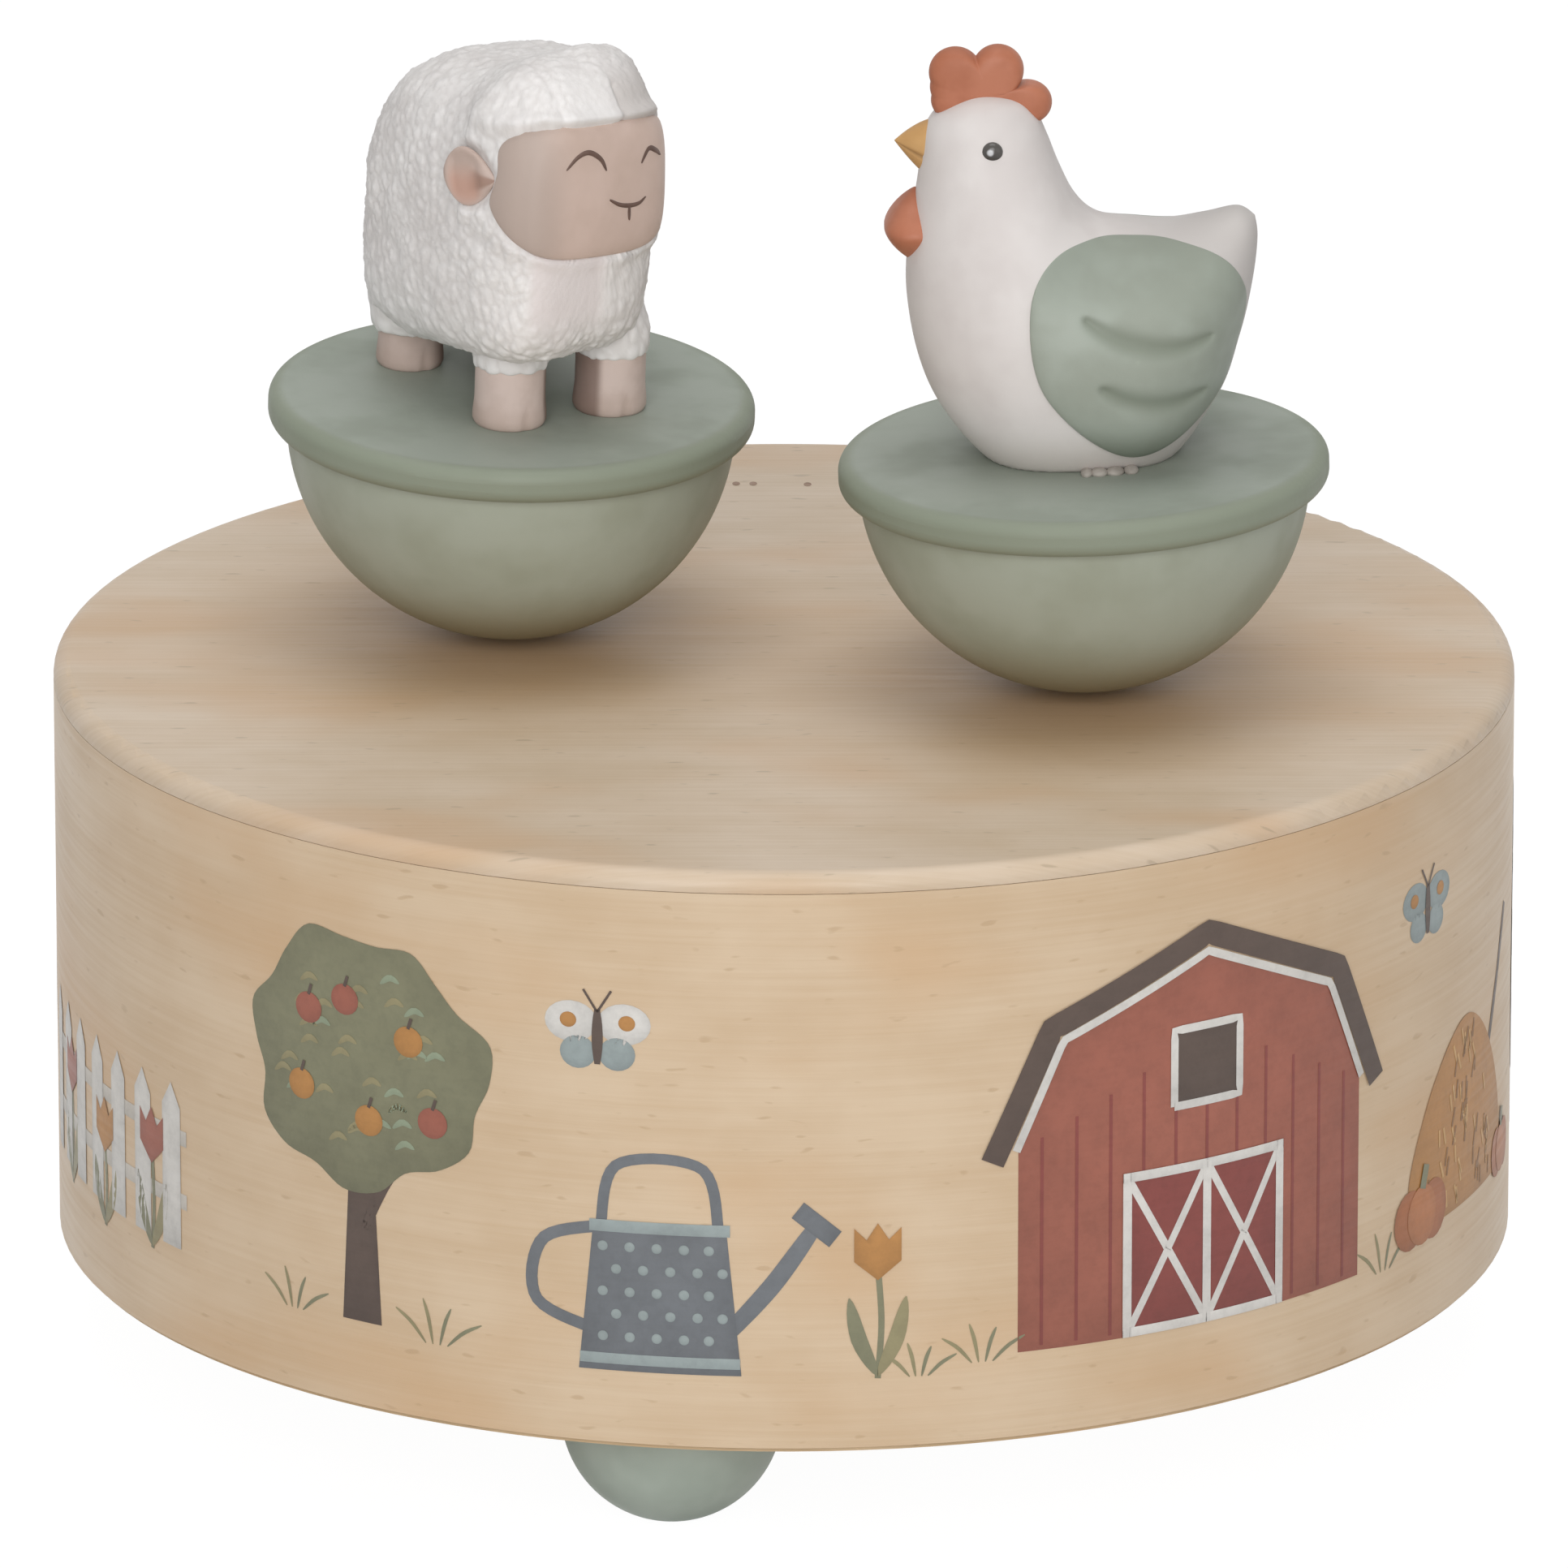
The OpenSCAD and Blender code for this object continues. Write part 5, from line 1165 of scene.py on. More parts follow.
def groove_depth(p):
    """1 on a groove's line, falling off as a bell of the groove's width, which narrows at both ends."""
    depth, t = np.zeros(p.shape[:-1]), np.linspace(0, 1, 60)
    for path in GROOVES:
        away = np.linalg.norm(p[..., None, :] - along(path, t), axis=-1) / (0.15 + np.sin(np.pi * t) ** 0.5)
        depth = np.maximum(depth, np.exp(-(away.min(-1) / GROOVE_WIDE) ** 2))
    return depth


print("half width at the wing's middle:", flank(np.array([WING_MID]) * [HEN_L, HEN_H]).round(2), "mm")

# %% [markdown]
# ### Wings
# Rings shrink from the wing's outline to its middle and are lifted from the flank, as for the face. The
# cushion thins out towards the back line, where both wings would otherwise meet.

# %% Wings
WING_EDGE = [
    [0.105, 0.618], [0.375, 0.58], [0.47, 0.475], [0.45, 0.33], [0.355, 0.145],
    [0.13, 0.05], [-0.1, 0.24], [-0.14, 0.47], [-0.065, 0.6]]
WING_T, WING_UNDER, RIDGE_THIN = 1.0, 0.3, 0.75


def wing_part(side, rings=56, columns=180):
    """Rings shrinking to the wing's middle, lifted from the flank by t sqrt(1 - k^4), less the grooves."""
    edge = along(WING_EDGE, np.linspace(0, 1, columns, endpoint=False), closed=True)
    k = np.sin(np.linspace(0.02, 1, rings) * np.pi / 2)[:, None, None]
    p = (np.array(WING_MID) + k * (edge - WING_MID)) * [HEN_L, HEN_H]
    x, z = p[..., 0], p[..., 1]
    carved, width = groove_depth(p), flank(p)
    thin = 1 - RIDGE_THIN * smooth(z, 0.44 * HEN_H, 0.58 * HEN_H)
    lift = thin * (GLUE + WING_T * np.sqrt(np.clip(1 - k[..., 0] ** 4, 0, 1))) - GROOVE_DEEP * carved
    top = np.stack([x, side * (width + lift), z], -1)
    under = np.stack([x, side * (width - WING_UNDER), z], -1)[::-1]
    far = np.maximum(smooth(x, 0.12 * HEN_L, 0.46 * HEN_L), smooth(z, 0.42 * HEN_H, 0.6 * HEN_H))
    # Painted shade: the wing darker low down, and a little towards its tail end and its top.
    low = np.maximum(1 - smooth(z, 1.2, 6.0), 0.4 * far)
    values = {
        "groove": with_tips(np.concatenate([carved, 0 * carved]), 0.95),
        "low": with_tips(np.concatenate([low, low[::-1]]), 0.7)}
    return figure_skin(np.concatenate([top, under]), HEN), values


wing_look = painted_look(
    "wing_paint", "#A0A79C", "#969C90", clouds=140, dull=0.6, tint={"low": "#676F61", "groove": "#7F8678"})
for name, side in (("left", -1), ("right", 1)):
    part, values = wing_part(side)
    make_piece(
        f"hen_wing_{name}_cushion", [part], "hen", wing_look, [f"hen_wing_{name}"], values)

# %% [markdown]
# ### Crest
# The crest is a flat casting of a few round lobes. Joined balls would leave seams, so it is one outline,
# the farthest lobe in each direction, rounded off to both faces.

# %% Crest
CREST_LOBES = [
    ((0, 0), 2.2), ((-3.3, -0.4), 1.6), ((-3.1, 0.7), 1.85), ((-2.9, 1.9), 2.1), ((0.6, 2.0), 2.1),
    ((3.2, -0.8), 1.7)]
CREST_T, CREST_AT = 3.0, np.array([-0.23 * HEN_L, 0, 0.985 * HEN_H])


def crest_part(rows=48, columns=240):
    """The reach of the farthest round lobe in each direction, drawn in by (cos t)^0.3 towards both faces."""
    a, t = full_turn(columns), -half_turn(rows)
    way, reach = np.stack([np.cos(a), np.sin(a)], -1), np.zeros(columns)
    for middle, radius in CREST_LOBES:
        b = way @ np.array(middle)
        d = radius ** 2 - np.dot(middle, middle) + b ** 2
        reach = np.maximum(reach, np.where((d > 0) & (b >= 0), b + np.sqrt(np.maximum(d, 0)), 0))
    spread = reach * np.cos(t) ** 0.3
    rings = np.stack([spread * np.cos(a), CREST_T / 2 * np.sin(t) + 0 * a, spread * np.sin(a)], -1)
    return rings + CREST_AT


crest_look = painted_look("crest_resin", "#B36F52", "#A76447", clouds=260, dull=0.55)
crest = figure_skin(crest_part(), HEN)
make_piece("hen_crest_lobes", [crest], "hen", crest_look, ["hen_crest"])

# %% [markdown]
# ### Beak and wattle
# The beak is a run of ovals that shrink to its tip, pressed in along a mouth line that is painted darker.
# The wattle is a hanging drop of the crest's colour. Both are glued to the head.

# %% Beak and wattle
BEAK_L, BEAK_W, BEAK_H, MOUTH_DEEP = 4.4, 2.4, 3.0, 0.10
WATTLE_L, WATTLE_W, WATTLE_H = 2.6, 4.2, 3.2
BEAK_AT, WATTLE_AT = np.array([[-0.355, 0, 0.842], [-0.455, 0, 0.635]]) * [HEN_L, 1, HEN_H]


def beak_part(rows=40, columns=80):
    """Ovals shrinking by 1 - t^1.7 to the tip, with a shallow mouth line on both sides."""
    t, a = np.linspace(0.01, 0.995, rows)[:, None], full_turn(columns)[None, :]
    w = 1 - t ** 1.7
    mouth = np.exp(-((np.sin(a) + 0.18) / 0.10) ** 2) * smooth(t, 0.25, 0.4)
    pressed = 1 - MOUTH_DEEP * mouth
    y, z = BEAK_W * w * np.cos(a) * pressed, 1.3 * t - 0.55 + BEAK_H * w * np.sin(a) * pressed
    return np.stack([-BEAK_L * t + 0 * a, y, z], -1) + BEAK_AT, mouth


def wattle_part(rows=40, columns=64):
    """A hanging drop, nearly a diamond: width (1 - |sin t|^1.5)^0.9 at height sin t."""
    t, a = half_turn(rows), full_turn(columns)[None, :]
    w = (1 - np.abs(np.sin(t)) ** 1.5) ** 0.9
    across = WATTLE_W * w * bulged(np.sin(a), 0.7)
    return np.stack([WATTLE_L * w * np.cos(a), across, WATTLE_H * np.sin(t) + 0 * a], -1) + WATTLE_AT


beak_look = painted_look("beak_resin", "#C89D66", "#BE925B", clouds=260, dull=0.5, tint={"mouth": "#8F6B40"})
beak_rings, mouth = beak_part()
wattle = figure_skin(wattle_part(), HEN)
make_piece(
    "hen_beak_horn", [figure_skin(beak_rings, HEN)], "hen", beak_look, ["hen_beak"],
    {"mouth": with_tips(mouth, 0.8)})
make_piece("hen_wattle_drop", [wattle], "hen", crest_look, ["hen_wattle"])

# %% [markdown]
# ### Eyes
# The eyes are small glossy beads half sunk in the head, each with a painted glint. How far out a bead sits
# follows from the flank, so it stays in place if the head's outline is changed.

# %% Eyes
def ball(centre, radii, rows=24, columns=40):
    """An ellipsoid: three radii times the unit sphere's latitude and longitude grid."""
    t, a = half_turn(rows), full_turn(columns)[None, :]
    unit = np.stack([np.cos(t) * np.cos(a), np.cos(t) * np.sin(a), np.sin(t) + 0 * a], -1)
    return np.array(centre) + unit * radii


EYE, EYE_RADII, EYE_SUNK = np.array([-0.232 * HEN_L, 0.875 * HEN_H]), (0.85, 0.6, 0.85), 0.2
eye_out = float(flank(EYE[None])[0])
eye_look = painted_look(
    "eye_gloss", "#4A4642", "#3E3B38", clouds=800, dull=0.3, relief=0.02, tint={"glint": "#C9C9CB"})
eyes, glints = [], []
for side in (-1, 1):
    bead = ball((EYE[0], side * (eye_out - EYE_SUNK), EYE[1]), EYE_RADII, 60, 96)
    spot = np.hypot(bead[..., 0] - EYE[0] + 0.18, bead[..., 2] - EYE[1] - 0.12)
    eyes.append(figure_skin(bead, HEN))
    glints.append(with_tips(1 - smooth(spot, 0.16, 0.34)))
make_piece(
    "hen_eye_beads", eyes, "hen", eye_look, ["hen_eyes"], {"glint": np.concatenate(glints)})

# %% [markdown]
# ### Toes
# The toes are only hinted at, by a few soft dabs of paint where the body meets its plate. Each is a small
# flattened ball, so that it shows as a low bump from the side too.

# %% Toes
TOES, TOE_SUNK, TOE_Z = [(0.2, 0.5), (1.2, 0.7), (2.5, 0.75), (3.8, 0.6)], 0.25, 0.15
toes = []
for side in (-1, 1):
    for x, size in TOES:
        out = float(flank(np.array([[x, 1.0]]))[0])
        toes.append(figure_skin(ball((x, side * (out - TOE_SUNK), TOE_Z), (size, 0.8, 0.42), 14, 24), HEN))
toe_look = painted_look("toe_resin", "#A9A29A", "#948D85", clouds=500, dull=0.6)
make_piece("hen_toes", toes, "hen", toe_look)

# %% [markdown]
# ## Printed frieze
# The veneer carries a farmyard frieze in soft, chalky colours. Printing lies in the surface, so each shape
# is a thin sheet laid on the drum, a fiftieth of a millimetre proud for each layer of ink. The ink lets a
# little of the wood's streaks through, which a plain colour would hide.

# %% Ink material
def ink_look():
    """The points' own colour, dimmed by the grain's colour and dabbed by noise."""
    look, tree, shader = new_look("print_ink")
    run, cross = round_the_drum(tree)
    greys = {
        "Pale": PURE_WHITE, "Deep": (0.86, 0.84, 0.82, 1), "Warm": (0.95, 0.93, 0.9, 1),
        "Fleck": (0.75, 0.73, 0.7, 1)}
    grain = node(tree, "Group", {"Along": run, "Across": cross, **greys}, node_tree=wood_grain)
    ink = node(tree, "Attribute", attribute_name="ink")["Color"]
    toned = mix_colour(tree, 0.55, ink, grain["Color"], "MULTIPLY")
    dark = mix_colour(tree, 1.0, toned, (0.84, 0.84, 0.84, 1), "MULTIPLY")
    dabs = ramp(tree, noise(tree, object_place(tree), 900.0, 3, 0.7), 0.35, 0.75, 0.0, 0.75)
    feed(tree, shader, mix_colour(tree, dabs, toned, dark), ramp(tree, grain["Streak"], 0.3, 0.7, 0.40, 0.50))
    return look


print_ink = ink_look()
print(print_ink.name, "has", len(print_ink.node_tree.nodes), "nodes")

# %% [markdown]
# ### Outlines
# A shape is drawn flat, u round the drum and v up it, and then wrapped. Its colour is a value on its
# points, paler towards the top and darker to the edge, which gives the look of dabbed paint.

# %% Outlines on the drum
FOOT_H, INK_STEP = 10.6, 0.02


def wrapped(u, v, layer):
    """u mm round from the front's middle and v mm up from the drum's lower edge, a step out per layer."""
    radius, a = DRUM_R + INK_STEP * layer, u / DRUM_R
    return np.stack([radius * np.sin(a), -radius * np.cos(a), FOOT_H + v + 0 * u], -1)


def dabbed(u, v, card, edge, seed=0.0):
    """Colour of each point: lighter by height within the shape, darker by edge^4, with a slow drift."""
    span = max(float(np.ptp(v)), 1.0)
    drift = 0.05 * np.sin(0.9 * u + seed) * np.cos(0.7 * v - seed)
    light = 1 + 0.16 * ((v - v.mean()) / span) - 0.14 * edge ** 4 + drift
    return np.concatenate([linear(card) * light.reshape(-1, 1), np.ones((light.size, 1))], -1)


def corner_path(corners, step=0.9):
    """A closed outline through the corners in straight runs, with a point about every step."""
    corners = np.asarray(corners, float)
    ends = np.roll(corners, -1, 0)
    counts = np.maximum(np.ceil(np.linalg.norm(ends - corners, axis=1) / step).astype(int), 1)
    run = np.repeat(np.arange(len(corners)), counts)
    t = np.concatenate([np.arange(c) / c for c in counts])[:, None]
    return corners[run] * (1 - t) + ends[run] * t


def round_path(points, count):
    """A closed smooth outline through the points."""
    return along(points, np.linspace(0, 1, count, endpoint=False), closed=True)


def oval(u, v, wide, high):
    """An ellipse's outline with half width and half height."""
    a = full_turn(int(max(20, 5 * max(wide, high))))
    return np.stack([u + wide * np.cos(a), v + high * np.sin(a)], -1)


def tapered(low, high, foot, top):
    """The four corners of a post between two heights, with its half widths at foot and top."""
    return [(-foot, low), (foot, low), (top, high), (-top, high)]


print("a wall 10 mm square has", len(corner_path(tapered(0, 10, 5, 5))), "outline points")

# %% [markdown]
# ### Sheets of ink
# A sheet is filled by rings that shrink from its outline to its middle, close enough together to follow
# the drum's curve. Which way its outline runs doesn't matter, since the sheet is turned to face outwards.

# %% Sheets of ink
RING_GAP = 1.1


def filled(outline, middle, rings):
    """Places on rings that shrink to a middle, their shares of the way out, quads and the inner fan."""
    share, columns = np.linspace(1, 0, rings, endpoint=False), len(outline)
    places = middle + share[:, None, None] * (outline - middle)
    inner = (rings - 1) * columns + np.arange(columns)
    fan = np.stack([inner, np.roll(inner, -1), np.full(columns, rings * columns)], -1)
    places = np.concatenate([places.reshape(-1, 2), [middle]])
    return places, np.repeat(share, columns), grid_faces(rings, columns), fan


def facing(points, quads, fan):
    """Turns a sheet on the drum outwards: its faces' mean normal points away from the drum's axis."""
    a, b, c = (points[quads[:, k]] for k in range(3))
    out = (np.cross(b - a, c - a) * (a * [1, 1, 0])).sum()
    return (points, quads, fan) if out > 0 else (points, quads[:, ::-1], fan[:, ::-1])


def patch(outline, card, layer, middle=None, seed=0.0):
    """A filled outline with its colours."""
    middle = outline.mean(0) if middle is None else np.array(middle, float)
    rings = int(max(3, np.ceil(np.linalg.norm(outline - middle, axis=1).max() / RING_GAP)))
    places, edge, quads, fan = filled(outline, middle, rings)
    u, v = places.T
    colours = np.concatenate([dabbed(u[:-1], v[:-1], card, edge, seed), [paint(card)]])
    return facing(wrapped(u, v, layer), quads, fan), colours


print("an oval of ink has", len(patch(oval(0, 0, 2, 3), "#808080", 1)[1]), "points")

# %% [markdown]
# ### Lines of ink
# A line of ink is a ribbon along a path, curved or with straight runs. It could be a filled outline too,
# but a path and a width are easier to draw with. A motif is drawn from its own corner and then moved.

# %% Lines of ink
LINE_STEP = 0.7


def brush(path, width, card, layer, curved=True, taper=0.0):
    """A line of ink: two edges and a middle along a path, its width times 1 - taper at both ends."""
    path = np.asarray(path, float)
    steps = np.linalg.norm(np.diff(path, axis=0), axis=1)
    t = np.linspace(0, 1, int(max(8, np.ceil(steps.sum() / LINE_STEP))))
    if curved:
        curve = along(path, t)
    else:
        place = np.concatenate([[0], np.cumsum(steps)]) / steps.sum()
        curve = np.stack([np.interp(t, place, path[:, k]) for k in (0, 1)], -1)
    side = sideways(curve)
    spread = (width * (1 - taper * np.abs(2 * t - 1) ** 2))[:, None] * np.linspace(-0.5, 0.5, 3)
    u, v = (curve[:, None, k] + spread * side[:, None, k] for k in (0, 1))
    quads = grid_faces(len(t), 3, wrap=False)
    return facing(wrapped(u, v, layer).reshape(-1, 3), quads, NO_FANS), dabbed(u, v, card, 0 * u)


def line(path, width, card, layer):
    """A line of ink with straight runs."""
    return brush(path, width, card, layer, curved=False)


def placed(u, v, size=1.0):
    """A function that moves a motif's points from its own corner to u, v on the drum, at a size."""
    return lambda points: size * np.asarray(points, float) + [u, v]


def print_motif(name, inks):
    """One piece for a motif: all its sheets of ink, with their colours as a value on the points."""
    parts, colours = zip(*inks)
    make_piece(name, list(parts), "casing", print_ink, values={"ink": np.concatenate(colours)})


print("a straight line 7 mm long has", len(line([(0, 0), (7, 0)], 1.0, "#808080", 1)[1]), "points")

# %% [markdown]
# ### Motifs
# Each motif is a function of its place, so it can be printed again elsewhere round the drum: a barn, a
# fruit tree, a watering can, a picket fence with tulips, a haystack with pumpkins, poplars, a windmill,
# sheaves, toadstools, a basket and butterflies, with grass between them. The barn comes first, in layers:
# wall, boards, doors, braces and roof edge.

# %% Barn
RUST, DARK_RUST, BROWN, WHITE = "#A0604F", "#87443E", "#5A4B43", "#DAD7D2"
SLATE, PALE_BLUE, OCHRE, OLIVE, LEAF, SAGE = "#6E7277", "#98A3A3", "#B9854B", "#818066", "#938B69", "#8F9A82"


def barn(u, v):
    """A gambrel barn 34 mm wide: boards, a double door with white braces, a loft hatch and a roof edge."""
    at = placed(u, v)
    wall = [(-17, 0), (17, 0), (17, 17.5), (13.2, 26), (0, 31.5), (-13.2, 26), (-17, 17.5)]
    hatch = [(-3.2, 18.8), (3.2, 18.8), (3.2, 25.2), (-3.2, 25.2), (-3.2, 18.8)]
    roof = [(-19.2, 16.2), (-14.2, 27), (0, 33), (14.2, 27), (19.2, 16.2)]
    eaves = [(-17.2, 17), (-13.2, 25.9), (0, 31.4), (13.2, 25.9), (17.2, 17)]
    inks = [patch(corner_path(at(wall)), RUST, 1, (u, v + 13))]
    for x in range(-15, 16, 3):
        inks.append(line(at([(x, 0.4), (x, 17 + 8 * (1 - abs(x) / 17))]), 0.28, DARK_RUST, 2))
    inks.append(patch(corner_path(at(tapered(0, 13.5, 7.5, 7.5))), DARK_RUST, 3))
    inks += [line(at([(x, 0), (x, 13.9)]), 0.8, WHITE, 5) for x in (-7.5, 0, 7.5)]
    inks += [line(at([(-7.9, y), (7.9, y)]), 0.8, WHITE, 5) for y in (0.4, 13.5)]
    for x in (-7.5, 0):
        for foot, top in ((0.2, 7.3), (7.3, 0.2)):
            inks.append(line(at([(x + foot, 0.6), (x + top, 13.2)]), 0.65, WHITE, 4))
    inks.append(patch(corner_path(at(tapered(19, 25, 3, 3))), BROWN, 3))
    edges = ((hatch, 0.7, WHITE, 4), (roof, 2.0, BROWN, 6), (eaves, 0.7, WHITE, 5))
    return inks + [line(at(path), width, card, layer) for path, width, card, layer in edges]


print("barn:", len(barn(0, 0)), "sheets")

# %% [markdown]
# ### Trees
# A crown is one sheet of green with short dabs of two other greens over it. The dabs come from a fixed
# list of random numbers, so the tree is the same at every run.

# %% Trees
FRUIT = [
    (-6, 19, OCHRE), (-1.5, 27, RUST), (4.6, 24.5, OCHRE), (6.8, 18, RUST), (0.8, 17.2, OCHRE),
    (-5.2, 25.6, RUST)]


def fruit_tree(u, v):
    """A round crown of overlapping leaf dabs on a short trunk, hung with ochre and rust fruit."""
    at, a = placed(u, v), full_turn(22)
    reach = 10.6 + 0.7 * np.sin(7 * a) + 0.4 * np.cos(3 * a)
    crown = np.stack([1.08 * reach * np.cos(a), 22 + reach * np.sin(a)], -1)
    inks = [patch(corner_path(at(tapered(0, 13, 1.9, 1.2))), BROWN, 1)]
    inks.append(brush(at([(0.3, 8), (2.2, 12), (4.4, 15)]), 1.1, BROWN, 1, taper=0.4))
    inks.append(patch(round_path(at(crown), 120), OLIVE, 2, (u, v + 22)))
    spots = np.random.default_rng(3).uniform(-1, 1, (46, 2)) * [9.0, 8.4]
    spots = spots[(spots ** 2 / [81.0, 70.0]).sum(1) < 0.9]
    for i, (x, y) in enumerate(spots):
        dab = [(x - 0.9, 22 + y - 0.3), (x, 22 + y + 0.35), (x + 0.9, 22 + y)]
        inks.append(brush(at(dab), 0.55, LEAF if i % 3 else SAGE, 3, taper=0.8))
    for x, y, card in FRUIT:
        inks.append(patch(oval(u + x, v + y, 1.35, 1.3), card, 4))
        inks.append(line(at([(x, y + 1.1), (x + 0.3, y + 2.0)]), 0.3, BROWN, 5))
    return inks


def poplar(u, v, high):
    """A slim drop-shaped crown on a stick, with upward dabs."""
    at = placed(u, v)
    drop = np.array([
        (0, 1), (-2.2, 0.72), (-3.2, 0.42), (-2.0, 0.2), (0, 0.16), (2.0, 0.2), (3.2, 0.42), (2.2, 0.72)])
    inks = [line(at([(0, 0), (0, 0.3 * high)]), 0.9, BROWN, 1)]
    inks.append(patch(round_path(at(drop * [1, high]), 90), OLIVE, 2, (u, v + 0.45 * high)))
    for i, y in enumerate(np.arange(0.24, 0.86, 0.08)):
        x = 1.1 * math.sin(4.1 * i)
        dab = [(x, y * high), (x + 0.3, y * high + 1.8)]
        inks.append(brush(at(dab), 0.5, LEAF if i % 2 else SAGE, 3, taper=0.7))
    return inks


print("fruit tree:", len(fruit_tree(0, 0)), "sheets, poplar:", len(poplar(0, 0, 30)))

# %% [markdown]
# ### Watering can and tulips
# The can is a tapered post with a spout, two hooped handles and rows of dots, every second row shifted by
# half a step. A tulip is a stem, two leaves that taper to a point, and a cup of three petals.

# %% Watering can and tulips
def watering_can(u, v):
    """A tapered slate can with a spout to the right, a hooped handle and pale dots."""
    at = placed(u, v)
    inks = [brush(at([(5.0, 3.0), (9.0, 7.6), (12.2, 12.2)]), 1.5, SLATE, 1, taper=0.2)]
    inks.append(patch(corner_path(at([(10.6, 13.4), (13.6, 10.9), (14.6, 12.2), (11.6, 14.7)])), SLATE, 2))
    inks.append(brush(at([(-5.4, 3.4), (-10.2, 5.6), (-9.6, 10.6), (-4.6, 12.2)]), 1.0, SLATE, 1))
    inks.append(brush(at([(-4.8, 12.0), (-3.4, 17.4), (3.4, 17.4), (4.8, 12.0)]), 0.9, SLATE, 1))
    inks.append(patch(corner_path(at(tapered(0, 12.2, 6.6, 5.4))), SLATE, 2))
    inks.append(line(at([(-5.7, 12.2), (5.7, 12.2)]), 1.0, PALE_BLUE, 3))
    inks.append(line(at([(-6.5, 1.0), (6.5, 1.0)]), 0.9, PALE_BLUE, 3))
    row = (-4.6, -2.4, -0.2, 2.0, 4.0)
    dots = [(x + (1.1 if k % 2 else 0), 2.9 + 1.9 * k) for k in range(5) for x in row]
    return inks + [patch(oval(u + x, v + y, 0.42, 0.42), PALE_BLUE, 3) for x, y in dots if abs(x) < 5.3]


def tulip(u, v, high, card):
    """A stem with two long leaves and a cup of three petals."""
    at = placed(u, v)
    inks = [brush(at([(0, 0), (0.3, 0.5 * high), (0, high)]), 0.5, OLIVE, 1)]
    for side in (-1, 1):
        leaf = [(0, 0.02 * high), (side * 1.5, 0.35 * high), (side * 2.3, 0.72 * high)]
        inks.append(brush(at(leaf), 1.3, LEAF if side > 0 else OLIVE, 2, taper=0.92))
    cup = np.array([
        (0, -1.2), (-1.9, 0.4), (-1.9, 3.2), (-0.9, 2.2), (0, 3.6), (0.9, 2.2), (1.9, 3.2), (1.9, 0.4)])
    return inks + [patch(corner_path(at(cup + [0, high]), 0.5), card, 3, (u, v + high + 0.8))]


print("watering can:", len(watering_can(0, 0)), "sheets, tulip:", len(tulip(0, 0, 9, RUST)))

# %% [markdown]
# ### Fence and haystack
# Pickets stand on two rails, each with its own drift of colour. The haystack is a heap with straws over
# it, again from a fixed list of random numbers, and pumpkins are three ovals that overlap.

# %% Fence, haystack and pumpkins
PICKET_GAP, PICKET_W = 4.6, 1.35
RAIL, DARK_STRAW, PALE_STRAW, DEEP_ORANGE, ORANGE = "#C9C3BA", "#8F6534", "#D0A56C", "#A9683F", "#B9774A"


def fence(u, v, pickets):
    """White pickets with pointed tops on two rails."""
    wide = PICKET_GAP * (pickets - 1)
    inks = [line([(u - 2.2, v + y), (u + wide + 2.2, v + y)], 1.3, RAIL, 1) for y in (4.2, 9.6)]
    board = [(-PICKET_W, 0), (PICKET_W, 0), (PICKET_W, 12), (0, 14), (-PICKET_W, 12)]
    for i in range(pickets):
        inks.append(patch(corner_path(placed(u + PICKET_GAP * i, v)(board)), WHITE, 2, seed=i))
    return inks


def haystack(u, v):
    """A rounded ochre heap with straw strokes and a fork handle leaning behind it."""
    at = placed(u, v)
    heap = [(-11, 0), (-10.4, 5.5), (-7, 11.5), (-2.5, 15.4), (1.5, 15.8), (6, 12.4), (9.6, 6.5), (10.8, 0)]
    inks = [line(at([(4, 8), (12, 22)]), 0.8, BROWN, 1)]
    inks.append(patch(corner_path(along(at(heap), np.linspace(0, 1, 70))), OCHRE, 2, (u, v + 4)))
    for a, b, c in np.random.default_rng(5).uniform(0, 1, (70, 3)):
        y = 13.5 * b ** 1.3
        x = (2 * a - 1) * (9.4 - 0.58 * y)
        straw = [(x, y + 0.4), (x + 1.6 * (c - 0.5), y + 1.9)]
        inks.append(line(at(straw), 0.32, DARK_STRAW if c > 0.5 else PALE_STRAW, 3))
    return inks


def pumpkin(u, v, size):
    """Three overlapping lobes with a short stalk."""
    lobes = ((-0.62, DEEP_ORANGE, 4), (0.62, DEEP_ORANGE, 4), (0, ORANGE, 5))
    inks = [patch(oval(u + x * size, v + 0.8 * size, 0.75 * size, 0.8 * size), card, layer)
            for x, card, layer in lobes]
    return inks + [line(placed(u, v, size)([(0, 1.5), (0.2, 2.1)]), 0.3 * size, OLIVE, 6)]


print("fence:", len(fence(0, 0, 7)), "sheets, haystack:", len(haystack(0, 0)))
print("pumpkin:", len(pumpkin(0, 0, 3)), "sheets")

# %% [markdown]
# ### Grass and butterflies
# Small motifs fill the gaps: tufts of grass on the ground line, and butterflies over it.

# %% Grass and butterflies
BLADES = ((-1.1, 0.75), (-0.35, 1.1), (0.4, 0.95), (1.2, 0.65))


def grass(u, v, size):
    """A tuft of four tapering blades."""
    at = placed(u, v, size)
    return [brush(at([(0.25 * lean, 0), (0.6 * lean, 0.6 * tall), (lean, tall)]), 0.32,
                  OLIVE if lean > 0 else LEAF, 1, taper=0.7) for lean, tall in BLADES]


